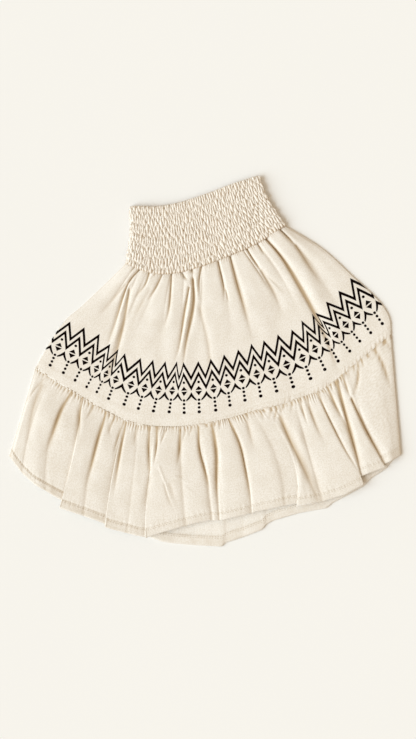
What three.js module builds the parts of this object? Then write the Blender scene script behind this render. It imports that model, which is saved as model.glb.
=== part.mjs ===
// A ruffled mini skirt laid flat, front side up: a shirred waistband, a gathered upper tier and a
// gathered ruffle with a turned-up hem. Each of the three has a front and a back, which lie on each other.
// Millimetres. The skirt rests on z = 0, +Y runs from the hem to the waist, +X to the right from above.
import * as THREE from 'three';

// Driving sizes
const clothWall = 1.2; // woven cloth, with what its weave stands proud
const shirredWall = 3; // shirred cloth, thickened by its tucks
const seamGap = 0.3; // between two pieces at a seam, and between two layers
const hemDepth = 11; // turned-up strip along the hem
const hemFold = 0.5; // extra thickness of that strip
const allowanceDepth = 7; // pressed seam allowance over the ruffle seam
const allowanceLift = 0.4; // how far it pushes the upper tier out
const waistLift = 2.7; // the front rises by this much to meet the waistband
const tierBelly = 1.6; // air under the middle of the upper tier
const backFoldRoom = 1.6; // height that the back ruffle's folds need under the front
const backGather = 1.2; // height of the back's gathers at the waist
const shirredRows = 11; // rows of elastic thread
const tucks = 33; // tucks across the waistband
const tuckHeight = 1.3; // a tuck above the waistband's wall
const gatherHeight = 1.1; // a small gather at the top of the ruffle
const gatherFade = 0.22; // share of the ruffle's length over which those gathers fade
const pleatGrowth = 0.4; // share of the ruffle's length over which its waves reach their height
const gatherColumns = 4; // columns of the mesh in one small gather
const clothColour = '#ece2d0';
const shirredColour = '#e2d5bf';

// Outlines from above, left to right or top to bottom
const outline = (points) =>
  new THREE.CatmullRomCurve3(points.map(([x, y]) => new THREE.Vector3(x, y, 0)), false, 'centripetal');
const waistTop = outline([[-91, 186], [-50, 186.5], [-12, 196], [31, 212], [65, 223]]);
const waistSeam = outline([[-95, 117], [-67, 106], [-41, 104.5], [-4, 113.5], [29, 126], [63, 141], [97, 163]]);
const bandLeft = outline([[-91, 186], [-90, 154], [-95, 117]]);
const bandRight = outline([[65, 223], [76, 195], [97, 163]]);
const tierLeft = outline([[-95, 117], [-128, 85], [-150.5, 64], [-167, 50], [-187, 22], [-204, -9]]);
const tierRight = outline([[97, 163], [141, 135], [177.5, 102], [212, 69], [222, 51.5], [224, 32]]);
const ruffleSeam = outline([
  [-204, -9], [-161.5, -36], [-117.5, -62.5], [-88, -75], [-62, -80], [-26, -80],
  [27, -70.5], [67, -59], [122.5, -43], [146.5, -32], [192.5, 6], [224, 32],
]);

// The upper tier's crests and valleys, left to right. waist, half and seam are where a line crosses the
// waist seam, half the length and the ruffle seam, as shares of the width. rise is its height, in
// millimetres, and reach the share of the length after which it has faded. A valley has no rise.
const tierFolds = [
  { waist: 0, half: 0, seam: 0, rise: 0, reach: 1 },
  { waist: 0.03, half: 0.04, seam: 0.05, rise: 2.2, reach: 0.8 },
  { waist: 0.055, half: 0.08, seam: 0.09, rise: 0, reach: 1 },
  { waist: 0.072, half: 0.11, seam: 0.13, rise: 2, reach: 0.6 },
  { waist: 0.09, half: 0.148, seam: 0.16, rise: 0, reach: 1 },
  { waist: 0.115, half: 0.16, seam: 0.178, rise: 4.5, reach: 1 },
  { waist: 0.135, half: 0.172, seam: 0.2, rise: 0, reach: 1 },
  { waist: 0.175, half: 0.195, seam: 0.225, rise: 2, reach: 0.7 },
  { waist: 0.225, half: 0.215, seam: 0.25, rise: 0, reach: 1 },
  { waist: 0.25, half: 0.26, seam: 0.3, rise: 2.4, reach: 0.8 },
  { waist: 0.272, half: 0.31, seam: 0.35, rise: 0, reach: 1 },
  { waist: 0.31, half: 0.345, seam: 0.375, rise: 2.6, reach: 0.8 },
  { waist: 0.352, half: 0.38, seam: 0.395, rise: 0, reach: 1 },
  { waist: 0.385, half: 0.395, seam: 0.408, rise: 4.6, reach: 1 },
  { waist: 0.405, half: 0.412, seam: 0.425, rise: 0, reach: 1 },
  { waist: 0.43, half: 0.43, seam: 0.445, rise: 2.2, reach: 0.5 },
  { waist: 0.458, half: 0.445, seam: 0.465, rise: 0, reach: 1 },
  { waist: 0.505, half: 0.5, seam: 0.5, rise: 3, reach: 0.9 },
  { waist: 0.553, half: 0.555, seam: 0.545, rise: 0, reach: 1 },
  { waist: 0.59, half: 0.585, seam: 0.58, rise: 2.2, reach: 0.6 },
  { waist: 0.63, half: 0.62, seam: 0.62, rise: 0, reach: 1 },
  { waist: 0.68, half: 0.675, seam: 0.67, rise: 3, reach: 0.9 },
  { waist: 0.735, half: 0.737, seam: 0.73, rise: 0, reach: 1 },
  { waist: 0.77, half: 0.765, seam: 0.76, rise: 2.2, reach: 0.5 },
  { waist: 0.808, half: 0.79, seam: 0.78, rise: 0, reach: 1 },
  { waist: 0.835, half: 0.808, seam: 0.795, rise: 2.4, reach: 0.7 },
  { waist: 0.865, half: 0.833, seam: 0.815, rise: 0, reach: 1 },
  { waist: 0.905, half: 0.868, seam: 0.85, rise: 4.6, reach: 1 },
  { waist: 0.958, half: 0.91, seam: 0.9, rise: 0, reach: 1 },
  { waist: 0.98, half: 0.955, seam: 0.95, rise: 2.2, reach: 0.8 },
  { waist: 1, half: 1, seam: 1, rise: 0, reach: 1 },
];

// The front ruffle's crests, valleys and pleat edges, left to right. seam is where a line leaves the
// ruffle seam, as a share of its length, x and y where it meets the hem, bow how far it bends to the
// right on the way, and lift its height above the back at the hem. A pleat has two lines: the edge that
// shows, and the turn just under it, where the cloth runs back.
const ruffleFolds = [
  { seam: 0, x: -235, y: -114, bow: 0, lift: 0 },
  { seam: 0.02, x: -227.4, y: -124.8, bow: -3, lift: 2.5 },
  { seam: 0.047, x: -219.6, y: -134.4, bow: -6, lift: 0.3 },
  { seam: 0.075, x: -205.8, y: -147.6, bow: -8, lift: 4.5 },
  { seam: 0.105, x: -190.8, y: -156, bow: -10, lift: 0.5 },
  { seam: 0.125, x: -183, y: -160.5, bow: -4, lift: 3 },
  { seam: 0.142, x: -174, y: -168, bow: 2, lift: 0.4 },
  { seam: 0.15, x: -174.8, y: -176.4, bow: 2, lift: 3.6 },
  { seam: 0.175, x: -162, y: -180.6, bow: -1, lift: 4.6 },
  { seam: 0.21, x: -145.2, y: -186, bow: -5, lift: 1.2 },
  { seam: 0.235, x: -132, y: -190.8, bow: -4, lift: 4 },
  { seam: 0.262, x: -119.8, y: -196.2, bow: -3.5, lift: 0.4 },
  { seam: 0.268, x: -120.6, y: -199.2, bow: -3.5, lift: 3.8 },
  { seam: 0.285, x: -105.6, y: -203.4, bow: -2, lift: 4.6 },
  { seam: 0.3, x: -93.6, y: -206.4, bow: 0, lift: 2.6 },
  { seam: 0.315, x: -82.8, y: -209.4, bow: 0, lift: 4 },
  { seam: 0.34, x: -71.7, y: -211.6, bow: -4, lift: 0.4 },
  { seam: 0.355, x: -72.5, y: -212.4, bow: -5, lift: 4 },
  { seam: 0.375, x: -48, y: -204.6, bow: -4, lift: 5.5 },
  { seam: 0.405, x: -22.8, y: -197.4, bow: -2, lift: 2 },
  { seam: 0.43, x: -6, y: -193.2, bow: 0, lift: 4.6 },
  { seam: 0.452, x: 9, y: -190.8, bow: 0, lift: 0.5 },
  { seam: 0.472, x: 13.2, y: -191.2, bow: 0, lift: 3.2 },
  { seam: 0.488, x: 17.4, y: -191.2, bow: 0, lift: 0.5 },
  { seam: 0.5, x: 22, y: -190.6, bow: 0, lift: 4 },
  { seam: 0.515, x: 36, y: -187.2, bow: 2, lift: 5.8 },
  { seam: 0.528, x: 55.5, y: -182.4, bow: 6, lift: 0.8 },
  { seam: 0.54, x: 60, y: -181.4, bow: 6, lift: 4.2 },
  { seam: 0.565, x: 81.6, y: -176.4, bow: 7, lift: 5.2 },
  { seam: 0.59, x: 96, y: -173.4, bow: 9, lift: 2.4 },
  { seam: 0.615, x: 110, y: -171.6, bow: 12, lift: 0.5 },
  { seam: 0.63, x: 109.2, y: -174.6, bow: 13, lift: 4.2 },
  { seam: 0.665, x: 126, y: -171.6, bow: 6, lift: 5.6 },
  { seam: 0.7, x: 141, y: -168.6, bow: 0, lift: 1.6 },
  { seam: 0.74, x: 168, y: -160.2, bow: 0, lift: 6 },
  { seam: 0.765, x: 190.6, y: -148.2, bow: 0, lift: 4.6 },
  { seam: 0.787, x: 189.8, y: -138.6, bow: 5, lift: 0.5 },
  { seam: 0.815, x: 201.6, y: -132.6, bow: 0, lift: 3.8 },
  { seam: 0.845, x: 217, y: -127.2, bow: -5.6, lift: 3.4 },
  { seam: 0.862, x: 216.2, y: -124.2, bow: -5.6, lift: 0.4 },
  { seam: 0.92, x: 225.6, y: -118.8, bow: 0, lift: 2.6 },
  { seam: 1, x: 235.8, y: -112.8, bow: 0, lift: 0 },
];

// The back ruffle's lines, in the same columns. It lies flat on z = 0 between its low folds.
const backFolds = [
  { seam: 0, x: -234.5, y: -113, bow: 0, lift: 0 },
  { seam: 0.05, x: -217.2, y: -133.2, bow: 0, lift: 0 },
  { seam: 0.08, x: -205.8, y: -144, bow: 0, lift: 1 },
  { seam: 0.12, x: -186, y: -156.6, bow: 0, lift: 0 },
  { seam: 0.17, x: -156, y: -175.2, bow: 0, lift: 0 },
  { seam: 0.2, x: -140.4, y: -181.2, bow: 0, lift: 1.2 },
  { seam: 0.23, x: -123.6, y: -187.8, bow: 0, lift: 0 },
  { seam: 0.28, x: -97.2, y: -199.2, bow: 0, lift: 0 },
  { seam: 0.33, x: -69.6, y: -210.6, bow: 0, lift: 0 },
  { seam: 0.36, x: -54, y: -216.6, bow: 0, lift: 1.4 },
  { seam: 0.39, x: -39.6, y: -219, bow: 0, lift: 0 },
  { seam: 0.44, x: -12, y: -221.5, bow: 0, lift: 0 },
  { seam: 0.5, x: 10.8, y: -222.6, bow: 0, lift: 0.9 },
  { seam: 0.52, x: 20, y: -223.2, bow: 0, lift: 1.6 },
  { seam: 0.53, x: 23.4, y: -219, bow: 0, lift: 0.3 },
  { seam: 0.57, x: 45.6, y: -211.8, bow: 0, lift: 0 },
  { seam: 0.6, x: 68.4, y: -202.8, bow: 0, lift: 1.6 },
  { seam: 0.62, x: 73.2, y: -196.8, bow: 0, lift: 0 },
  { seam: 0.65, x: 81.6, y: -192, bow: 0, lift: 0 },
  { seam: 0.69, x: 111.6, y: -183, bow: 0, lift: 1.2 },
  { seam: 0.73, x: 146.4, y: -176.8, bow: 0, lift: 0 },
  { seam: 0.76, x: 153.6, y: -170.4, bow: 0, lift: 0 },
  { seam: 0.82, x: 189, y: -151.8, bow: 0, lift: 1 },
  { seam: 0.86, x: 200.4, y: -140.4, bow: 0, lift: 0 },
  { seam: 0.92, x: 217.2, y: -129.6, bow: 0, lift: 0.7 },
  { seam: 0.96, x: 225.6, y: -119, bow: 0, lift: 0 },
  { seam: 1, x: 235.2, y: -112.2, bow: 0, lift: 0 },
];

// Small helpers
const mix = (a, b, share) => a + (b - a) * share;
const smooth = (from, to, value) => THREE.MathUtils.smoothstep(value, from, to);
const steps = (count) => Array.from({ length: count + 1 }, (_, i) => i / count);
// A fixed, uneven number from 0 to 1 for a pair of whole numbers
const uneven = (i, j) => {
  const wave = Math.sin(i * 12.9898 + j * 78.233) * 43758.5453;
  return wave - Math.floor(wave);
};
// A cloth wave's section from valley (0) to crest (1): narrow at the foot and round at the top
const swell = (share) => 0.6 * Math.sin((Math.PI / 2) * share) + 0.4 * smooth(0, 1, share);
// Height between two neighbouring lines, each with its own height
const between = (a, b, share) => (b > a ? mix(a, b, swell(share)) : mix(b, a, swell(1 - share)));

// The point of a panel with four edges at across, down, each from 0 to 1
const patch = (top, bottom, left, right) => (across, down) => {
  const corner = (curve, end) => curve.getPointAt(end);
  const point = new THREE.Vector3();
  point.addScaledVector(top.getPointAt(across), 1 - down).addScaledVector(bottom.getPointAt(across), down);
  point.addScaledVector(left.getPointAt(down), 1 - across).addScaledVector(right.getPointAt(down), across);
  point.addScaledVector(corner(top, 0), -(1 - across) * (1 - down));
  point.addScaledVector(corner(top, 1), -across * (1 - down));
  point.addScaledVector(corner(bottom, 0), -(1 - across) * down);
  return point.addScaledVector(corner(bottom, 1), -across * down);
};
const tierPoint = patch(waistSeam, ruffleSeam, tierLeft, tierRight);
const bandPoint = patch(waistTop, waistSeam, bandLeft, bandRight);

// A closed wall between an upper and a lower grid of points. The lower grid may be coarser: it then has
// every columnStep-th column and every rowStep-th row of the upper one.
function closedWall(upper, lower, columnStep = 1, rowStep = 1) {
  const positions = [];
  const indices = [];
  const number = (grid) => grid.map((row) => row.map((p) => positions.push(p.x, p.y, p.z) / 3 - 1));
  const up = number(upper);
  const low = number(lower);
  const skin = (ids, face) => {
    for (let r = 0; r + 1 < ids.length; r += 1) {
      for (let c = 0; c + 1 < ids[r].length; c += 1) {
        face(ids[r][c], ids[r + 1][c], ids[r][c + 1]);
        face(ids[r][c + 1], ids[r + 1][c], ids[r + 1][c + 1]);
      }
    }
  };
  skin(up, (a, b, c) => indices.push(a, b, c));
  skin(low, (a, b, c) => indices.push(a, c, b));
  const rim = (ids) => {
    const last = ids.length - 1;
    const side = (column) => ids.map((row) => row[column]);
    return [side(0), ids[last], side(ids[0].length - 1).reverse(), [...ids[0]].reverse()];
  };
  const lowRim = rim(low);
  rim(up).forEach((edge, k) => {
    const step = k % 2 ? columnStep : rowStep;
    for (let i = 0; i + 1 < lowRim[k].length; i += 1) {
      const [from, to] = [lowRim[k][i], lowRim[k][i + 1]];
      const half = Math.floor(step / 2);
      for (let j = 0; j < step; j += 1) {
        const [a, b] = [edge[i * step + j], edge[i * step + j + 1]];
        indices.push(j < half ? from : to, b, a);
      }
      indices.push(from, to, edge[i * step + half]);
    }
  });
  const geometry = new THREE.BufferGeometry();
  geometry.setAttribute('position', new THREE.Float32BufferAttribute(positions, 3));
  geometry.setIndex(indices);
  geometry.computeVertexNormals();
  return geometry;
}

// Moves each point of a grid by the distance that offset(row, column) gives, square to the cloth's
// section. A corner moves further, up to half as far again, so that the wall keeps its thickness there.
function offsetGrid(grid, offset) {
  const columnFall = grid[0].map((point, c) => grid.at(-1)[c].clone().sub(point).setZ(0).normalize());
  return grid.map((row, r) => row.map((point, c) => {
    const fall = columnFall[c];
    const before = row[Math.max(c - 1, 0)];
    const after = row[Math.min(c + 1, row.length - 1)];
    const square = (from, to) => {
      const step = to.clone().sub(from);
      return step.addScaledVector(fall, -step.dot(fall)).normalize();
    };
    const along = square(before, point).add(square(point, after));
    const atSide = before === point || after === point;
    const corner = atSide ? 1 : Math.max(2 / 3, along.length() / 2);
    return point.clone().addScaledVector(fall.clone().cross(along).normalize(), offset(r, c) / corner);
  }));
}
const coarser = (grid, columnStep, rowStep = 1) =>
  grid.filter((_, r) => r % rowStep === 0).map((row) => row.filter((_, c) => c % columnStep === 0));

// The columns of a panel: how far each lies between two of its lines. Each gap has an even number.
function columnsFor(count, gapWidth, columnWidth) {
  const columns = [{ line: 0, share: 0 }];
  for (let line = 0; line + 1 < count; line += 1) {
    const pieces = 2 * Math.max(1, Math.round(gapWidth(line) / (2 * columnWidth)));
    for (let i = 1; i <= pieces; i += 1) columns.push({ line, share: i / pieces });
  }
  return columns;
}

// Upper tier
const tierRows = [0, 0.05, 0.12, 0.2, 0.3, 0.42, 0.55, 0.68, 0.81, 0.95, 0.965, 1];
const tierColumnWidth = 5;
const frontRest = clothWall + seamGap; // underside of the front where it lies on the back
const tierColumns = columnsFor(
  tierFolds.length,
  (i) => (tierFolds[i + 1].half - tierFolds[i].half) * ruffleSeam.getLength(),
  tierColumnWidth,
);
const acrossAt = ({ waist, half, seam }, down) =>
  mix(mix(waist, half, 2 * down), mix(half, seam, 2 * down - 1), down);
const foldHeight = ({ rise, reach }, down) =>
  rise * mix(0.55, 1, smooth(0, 0.15, down)) * (1 - smooth(0.15 * reach, reach, down));

function tierFrontMiddle(down, { line, share }) {
  const [a, b] = [tierFolds[line], tierFolds[line + 1]];
  const across = mix(acrossAt(a, down), acrossAt(b, down), share);
  const tierLength = 185;
  const inset = down === 0 ? seamGap / tierLength : down === 1 ? 1 - seamGap / tierLength : down;
  const point = tierPoint(across, inset);
  const sides = smooth(0, 0.08, Math.min(across, 1 - across));
  const rest = frontRest + waistLift * (1 - smooth(0, 0.35, down)) * mix(0.35, 1, sides);
  const belly = tierBelly * Math.sin(Math.PI * across) * Math.sin(Math.PI * down);
  const folds = between(foldHeight(a, down), foldHeight(b, down), share) * mix(0.3, 1, sides);
  const allowance = down > 1 - allowanceDepth / tierLength ? allowanceLift : 0;
  return point.setZ(rest + belly + folds + allowance + clothWall / 2);
}
function tierFront() {
  const middle = tierRows.map((down) => tierColumns.map((column) => tierFrontMiddle(down, column)));
  const upper = offsetGrid(middle, () => clothWall / 2);
  const lower = coarser(offsetGrid(middle, () => -clothWall / 2), 2);
  return closedWall(upper, lower, 2);
}
function tierBack() {
  const rows = [0, 0.08, 0.18, 0.32, 0.65, 1];
  const gathers = 28;
  const columns = steps(gathers * 2);
  const underside = rows.map((down) => columns.map((across, c) => {
    const arch = c % 2 ? backGather * (1 - smooth(0, 0.3, down)) : 0;
    return tierPoint(across, mix(0.002, 0.998, down)).setZ(arch);
  }));
  const topside = underside.map((row) => row.map((p) => p.clone().setZ(p.z + clothWall)));
  return closedWall(topside, underside);
}

// Ruffle
const ruffleColumnWidth = 4;
const ruffleRows = [0, 0.04, 0.1, 0.18, 0.3, 0.45, 0.62, 0.78, 0.905, 0.915, 1];
const hemWidth = (folds) => (i) => Math.hypot(folds[i + 1].x - folds[i].x, folds[i + 1].y - folds[i].y);

// A line's point, from the ruffle seam (0) to the hem (1)
function linePoint(fold, down) {
  const start = ruffleSeam.getPointAt(fold.seam);
  const end = new THREE.Vector3(fold.x, fold.y, 0);
  const fall = new THREE.Vector3().subVectors(end, start);
  const drop = mix(seamGap / fall.length(), 1, down);
  const right = new THREE.Vector3(-fall.y, fall.x, 0).normalize();
  return start.addScaledVector(fall, drop).addScaledVector(right, 4 * fold.bow * drop * (1 - drop));
}
// The middle of the cloth between two lines. It follows the curve of the seam at its top.
function ruffleMiddle(folds, rest, down, { line, share }) {
  const [a, b] = [folds[line], folds[line + 1]];
  const across = mix(a.seam, b.seam, share);
  const chord = ruffleSeam.getPointAt(a.seam).lerp(ruffleSeam.getPointAt(b.seam), share);
  const curve = ruffleSeam.getPointAt(across).sub(chord);
  const point = linePoint(a, down).lerp(linePoint(b, down), share).addScaledVector(curve, 1 - down);
  const growth = smooth(0, pleatGrowth, down);
  return point.setZ(rest(across, down) + growth * between(a.lift, b.lift, share) + clothWall / 2);
}
const awayFromSides = (across) => smooth(0.01, 0.13, Math.min(across, 1 - across));
const frontRuffleRest = (across, down) =>
  frontRest
  + backFoldRoom * smooth(0, pleatGrowth, down) * awayFromSides(across)
  + 2 * hemFold * smooth(0.5, 0.9, down);

function ruffleFront() {
  const columns = columnsFor(ruffleFolds.length, hemWidth(ruffleFolds), ruffleColumnWidth);
  const middle = ruffleRows.map((down) =>
    columns.map((column) => ruffleMiddle(ruffleFolds, frontRuffleRest, down, column)));
  const gather = (r, c) => {
    const fade = 1 - smooth(0, gatherFade, ruffleRows[r]);
    return gatherHeight * fade * Math.sin((Math.PI * (c % gatherColumns)) / gatherColumns);
  };
  const hem = (r) => (ruffleRows[r] > 0.91 ? hemFold : 0);
  const upper = offsetGrid(middle, (r, c) => clothWall / 2 + gather(r, c));
  const lower = coarser(offsetGrid(middle, (r) => -clothWall / 2 - hem(r)), 2);
  return closedWall(upper, lower, 2);
}
function ruffleBack() {
  const rows = [0, 0.15, 0.3, 0.5, 0.7, 0.905, 0.915, 1];
  const columns = columnsFor(backFolds.length, hemWidth(backFolds), 14);
  const underside = rows.map((down) =>
    columns.map((column) => {
      const point = ruffleMiddle(backFolds, () => 0, down, column);
      return point.setZ(point.z - clothWall / 2);
    }));
  const thickness = (r) => clothWall + (rows[r] > 0.91 ? hemFold : 0);
  const topside = underside.map((row, r) => row.map((p) => p.clone().setZ(p.z + thickness(r))));
  return closedWall(topside, underside);
}

// Waistband: plain inside, with rows of tucks outside
const bandRest = shirredWall + seamGap; // underside of the front half
function bandGrid(rows, columns, height) {
  return rows.map((down, r) => columns.map((across, c) => bandPoint(across, down).setZ(height(r, c))));
}
function bandFront() {
  const columnsPerTuck = 2;
  const rowsPerLine = 2;
  const columns = steps(tucks * columnsPerTuck);
  const rows = steps(shirredRows * rowsPerLine);
  const tuck = (r, c) => {
    const puff = r % rowsPerLine ? 1 : 0.4; // the elastic thread holds each row down
    const ridge = c % columnsPerTuck ? 1 : 0;
    return tuckHeight * puff * ridge * mix(0.55, 1, uneven(Math.floor(r / rowsPerLine), c));
  };
  const crown = (c) => mix(0.5, 1, smooth(0, 0.06, Math.min(columns[c], 1 - columns[c])));
  const upper = bandGrid(rows, columns, (r, c) => bandRest + shirredWall * crown(c) + tuck(r, c) * crown(c));
  const flat = bandGrid(rows, columns, () => bandRest);
  return closedWall(upper, coarser(flat, columnsPerTuck * 3, rowsPerLine), columnsPerTuck * 3, rowsPerLine);
}
function bandBack() {
  const columns = steps(24);
  const rows = steps(4);
  return closedWall(bandGrid(rows, columns, () => shirredWall), bandGrid(rows, columns, () => 0));
}

// The skirt
const cloth = { color: clothColour, roughness: 0.9, metalness: 0, side: THREE.DoubleSide };
const shirred = { ...cloth, color: shirredColour };
const pieces = [
  ['waistband_front', bandFront(), shirred],
  ['waistband_back', bandBack(), shirred],
  ['tier_front', tierFront(), cloth],
  ['tier_back', tierBack(), cloth],
  ['ruffle_front', ruffleFront(), cloth],
  ['ruffle_back', ruffleBack(), cloth],
];
const skirt = new THREE.Group();
skirt.name = 'ruffled_mini_skirt';
pieces.forEach(([name, geometry, finish]) => {
  const mesh = new THREE.Mesh(geometry, new THREE.MeshStandardMaterial(finish));
  mesh.name = name;
  skirt.add(mesh);
});

export default skirt;
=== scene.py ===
# A ruffled mini skirt, laid flat on a pale surface with its front up. Shapes are worked out in
# millimetres and stored in metres. +Y runs from the hem to the waist.
import math

import bpy
import numpy as np
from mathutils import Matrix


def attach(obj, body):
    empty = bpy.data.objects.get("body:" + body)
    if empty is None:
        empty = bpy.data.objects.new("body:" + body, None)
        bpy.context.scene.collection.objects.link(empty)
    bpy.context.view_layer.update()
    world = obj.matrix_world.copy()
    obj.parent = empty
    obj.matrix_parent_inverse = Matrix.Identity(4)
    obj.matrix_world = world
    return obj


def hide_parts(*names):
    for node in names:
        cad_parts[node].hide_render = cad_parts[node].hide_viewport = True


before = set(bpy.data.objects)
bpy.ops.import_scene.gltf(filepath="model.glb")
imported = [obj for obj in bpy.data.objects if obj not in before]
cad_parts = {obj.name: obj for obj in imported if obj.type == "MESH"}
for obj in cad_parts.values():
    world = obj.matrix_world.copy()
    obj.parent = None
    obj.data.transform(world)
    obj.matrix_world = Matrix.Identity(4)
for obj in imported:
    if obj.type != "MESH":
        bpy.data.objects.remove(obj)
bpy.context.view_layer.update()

mm = 0.001
scene = bpy.context.scene
print("frame loaded:", ", ".join(sorted(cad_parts)))


# Numbers and noise

def mix(a, b, share):
    return a + (b - a) * share


def smooth(start, end, value):
    share = np.clip((value - start) / (end - start), 0, 1)
    return share * share * (3 - 2 * share)


# Soft noise from -1 to 1, the same in each run
def softNoise(x, y, seed):
    cellX, cellY = np.floor(x), np.floor(y)
    shareX, shareY = smooth(0, 1, x - cellX), smooth(0, 1, y - cellY)

    def corner(i, j):
        wave = np.sin((cellX + i) * 127.1 + (cellY + j) * 311.7 + seed * 74.7) * 43758.5453
        return (wave - np.floor(wave)) * 2 - 1

    top = mix(corner(0, 0), corner(1, 0), shareX)
    return mix(top, mix(corner(0, 1), corner(1, 1), shareX), shareY)


# Lifts what lies below a height up to it, with a soft turn
def keepAbove(z, low, turn=0.4):
    return low + ((z - low) + np.sqrt((z - low) ** 2 + turn ** 2)) / 2


# 1 at a line, fading to both sides of it
def bell(away, width):
    return np.exp(-((away / width) ** 2))


def crossOf(first, second):
    return first[..., 0] * second[..., 1] - first[..., 1] * second[..., 0]


# Averages each point with its neighbours along the rows
def soften(grid, times):
    for _ in range(times):
        grid[:, 1:-1] = (grid[:, :-2] + 2 * grid[:, 1:-1] + grid[:, 2:]) / 4
    return grid


# Outlines from above

curveSteps = 50         # between two points of an outline


# The given points with one more beyond each end
def withEnds(points):
    points = np.array(points, float)
    return np.vstack([2 * points[0] - points[1], points, 2 * points[-1] - points[-2]])


# A smooth curve through a few points, and the share of its length at each of its steps
def smoothLine(*points):
    points = withEnds(points)
    stretches = []
    for i in range(len(points) - 3):
        four = points[i:i + 4]
        knots = np.r_[0, np.cumsum(np.sqrt(np.linalg.norm(np.diff(four, axis=0), axis=1)))]
        at = np.linspace(knots[1], knots[2], curveSteps, endpoint=False)[:, None]
        for span in (1, 2):
            shares = [(at - knots[k]) / (knots[k + span] - knots[k]) for k in range(4 - span)]
            four = [mix(four[k], four[k + 1], share) for k, share in enumerate(shares)]
        stretches.append(mix(*four, (at - knots[1]) / (knots[2] - knots[1])))
    line = np.vstack(stretches + [points[-2:-1]])
    length = np.r_[0, np.cumsum(np.linalg.norm(np.diff(line, axis=0), axis=1))]
    return {"points": line, "shares": length / length[-1], "length": length[-1]}


def along(line, share):
    return np.stack([np.interp(share, line["shares"], line["points"][:, k]) for k in (0, 1)], -1)


# The point of a panel with four edges, at across and down from 0 to 1
def patch(top, bottom, left, right, across, down):
    u, v = across[..., None], down[..., None]
    straight = mix(*(mix(along(edge, 0.0), along(edge, 1.0), u) for edge in (top, bottom)), v)
    between = mix(along(top, across), along(bottom, across), v)
    return between + mix(along(left, down), along(right, down), u) - straight


waistTop = smoothLine((-91, 186), (-50, 186.5), (-12, 196), (31, 212), (65, 223))
waistSeam = smoothLine((-95, 117), (-67, 106), (-41, 104.5), (-4, 113.5), (29, 126), (63, 141), (97, 163))
bandLeft = smoothLine((-91, 186), (-90, 154), (-95, 117))
bandRight = smoothLine((65, 223), (76, 195), (97, 163))
tierLeft = smoothLine((-95, 117), (-128, 85), (-150.5, 64), (-167, 50), (-187, 22), (-204, -9))
tierRight = smoothLine((97, 163), (141, 135), (177.5, 102), (212, 69), (222, 51.5), (224, 32))
ruffleSeam = smoothLine(
    (-204, -9), (-161.5, -36), (-117.5, -62.5), (-88, -75), (-62, -80), (-26, -80),
    (27, -70.5), (67, -59), (122.5, -43), (146.5, -32), (192.5, 6), (224, 32))

layers = {
    "cloth": 0.7,           # thickness of the cloth
    "frontRest": 1.5,       # the front lies this high on the back
    "sideRest": 1.15,       # middle of the front's cloth at its sides, where it meets the back
    "hemDepth": 10.5,       # turned-up strip along the hem
    "hemFold": 0.5,         # extra thickness of that strip
    "hemStitches": (-0.4, 2.8),     # rows of stitches, from the strip's edge towards the hem
}


# Meshes from grids of points, rows from top to bottom

def normalsOf(grid):
    rows = np.gradient(grid, axis=0)
    columns = np.gradient(grid, axis=1)
    normal = np.cross(rows, columns)
    return normal / np.maximum(np.linalg.norm(normal, axis=-1, keepdims=True), 1e-9)


# How deep each point lies in a fold, from 0 to 1
def creaseOf(grid, reach, depth):
    z = grid[..., 2]
    wide = np.pad(z, ((0, 0), (reach, reach)), mode="edge")
    sums = np.cumsum(np.pad(wide, ((0, 0), (1, 0))), axis=1)
    mean = (sums[:, 2 * reach + 1:] - sums[:, :-2 * reach - 1]) / (2 * reach + 1)
    return np.clip((mean - z) / depth, 0, 1)


# Painted shade in the valleys: of folds (reach in points, depth, share of the shade), of drawn creases, and
# of the tiny valleys (reach in points, depth) beside a gathered seam, which fade between two distances from
# it
valleyShadeLook = {
    "folds": [(5, 1.4, 0.4), (14, 2.6, 0.15)], "deepest": 2.95, "curve": 1.35,
    "tiny": (2, 0.22), "tinyFade": (3, 7),
}


def paintedValleyShade(grid, grooves, fromSeam):
    tint = sum(share * creaseOf(grid, reach, depth) for reach, depth, share in valleyShadeLook["folds"])
    tint = tint + (np.maximum(grooves, 0) / valleyShadeLook["deepest"]) ** valleyShadeLook["curve"]
    return tint + creaseOf(grid, *valleyShadeLook["tiny"]) * (1 - smooth(*valleyShadeLook["tinyFade"], fromSeam))


def newMesh(name, points, faces):
    mesh = bpy.data.meshes.new(name)
    mesh.vertices.add(len(points))
    mesh.vertices.foreach_set("co", (points * mm).astype(np.float32).ravel())
    mesh.loops.add(faces.size)
    mesh.loops.foreach_set("vertex_index", faces.astype(np.int32).ravel())
    mesh.polygons.add(len(faces))
    mesh.polygons.foreach_set("loop_start", np.arange(0, faces.size, 4, dtype=np.int32))
    mesh.update(calc_edges=True)
    mesh.shade_smooth()
    piece = bpy.data.objects.new(name, mesh)
    scene.collection.objects.link(piece)
    return piece


def squares(numbers):
    corners = [numbers[:-1, :-1], numbers[1:, :-1], numbers[1:, 1:], numbers[:-1, 1:]]
    return np.stack(corners, -1).reshape(-1, 4)


def setAttribute(mesh, name, values):
    mesh.attributes.new(name, "FLOAT", "POINT").data.foreach_set("value", values.astype(np.float32).ravel())


# Runs a Geometry Nodes tree on a thin sheet and gives its points back, in millimetres
def relief(grid, across, down, tree, sizes):
    rows, columns = grid.shape[:2]
    sheet = newMesh("sheet", grid.reshape(-1, 3), squares(np.arange(rows * columns).reshape(rows, columns)))
    setAttribute(sheet.data, "across", across)
    setAttribute(sheet.data, "down", down)
    mesh = runTree(sheet, tree, sizes)
    points = np.empty(rows * columns * 3, np.float32)
    mesh.vertices.foreach_get("co", points)
    bpy.data.objects.remove(sheet)
    return points.reshape(rows, columns, 3).astype(float) / mm


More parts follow.
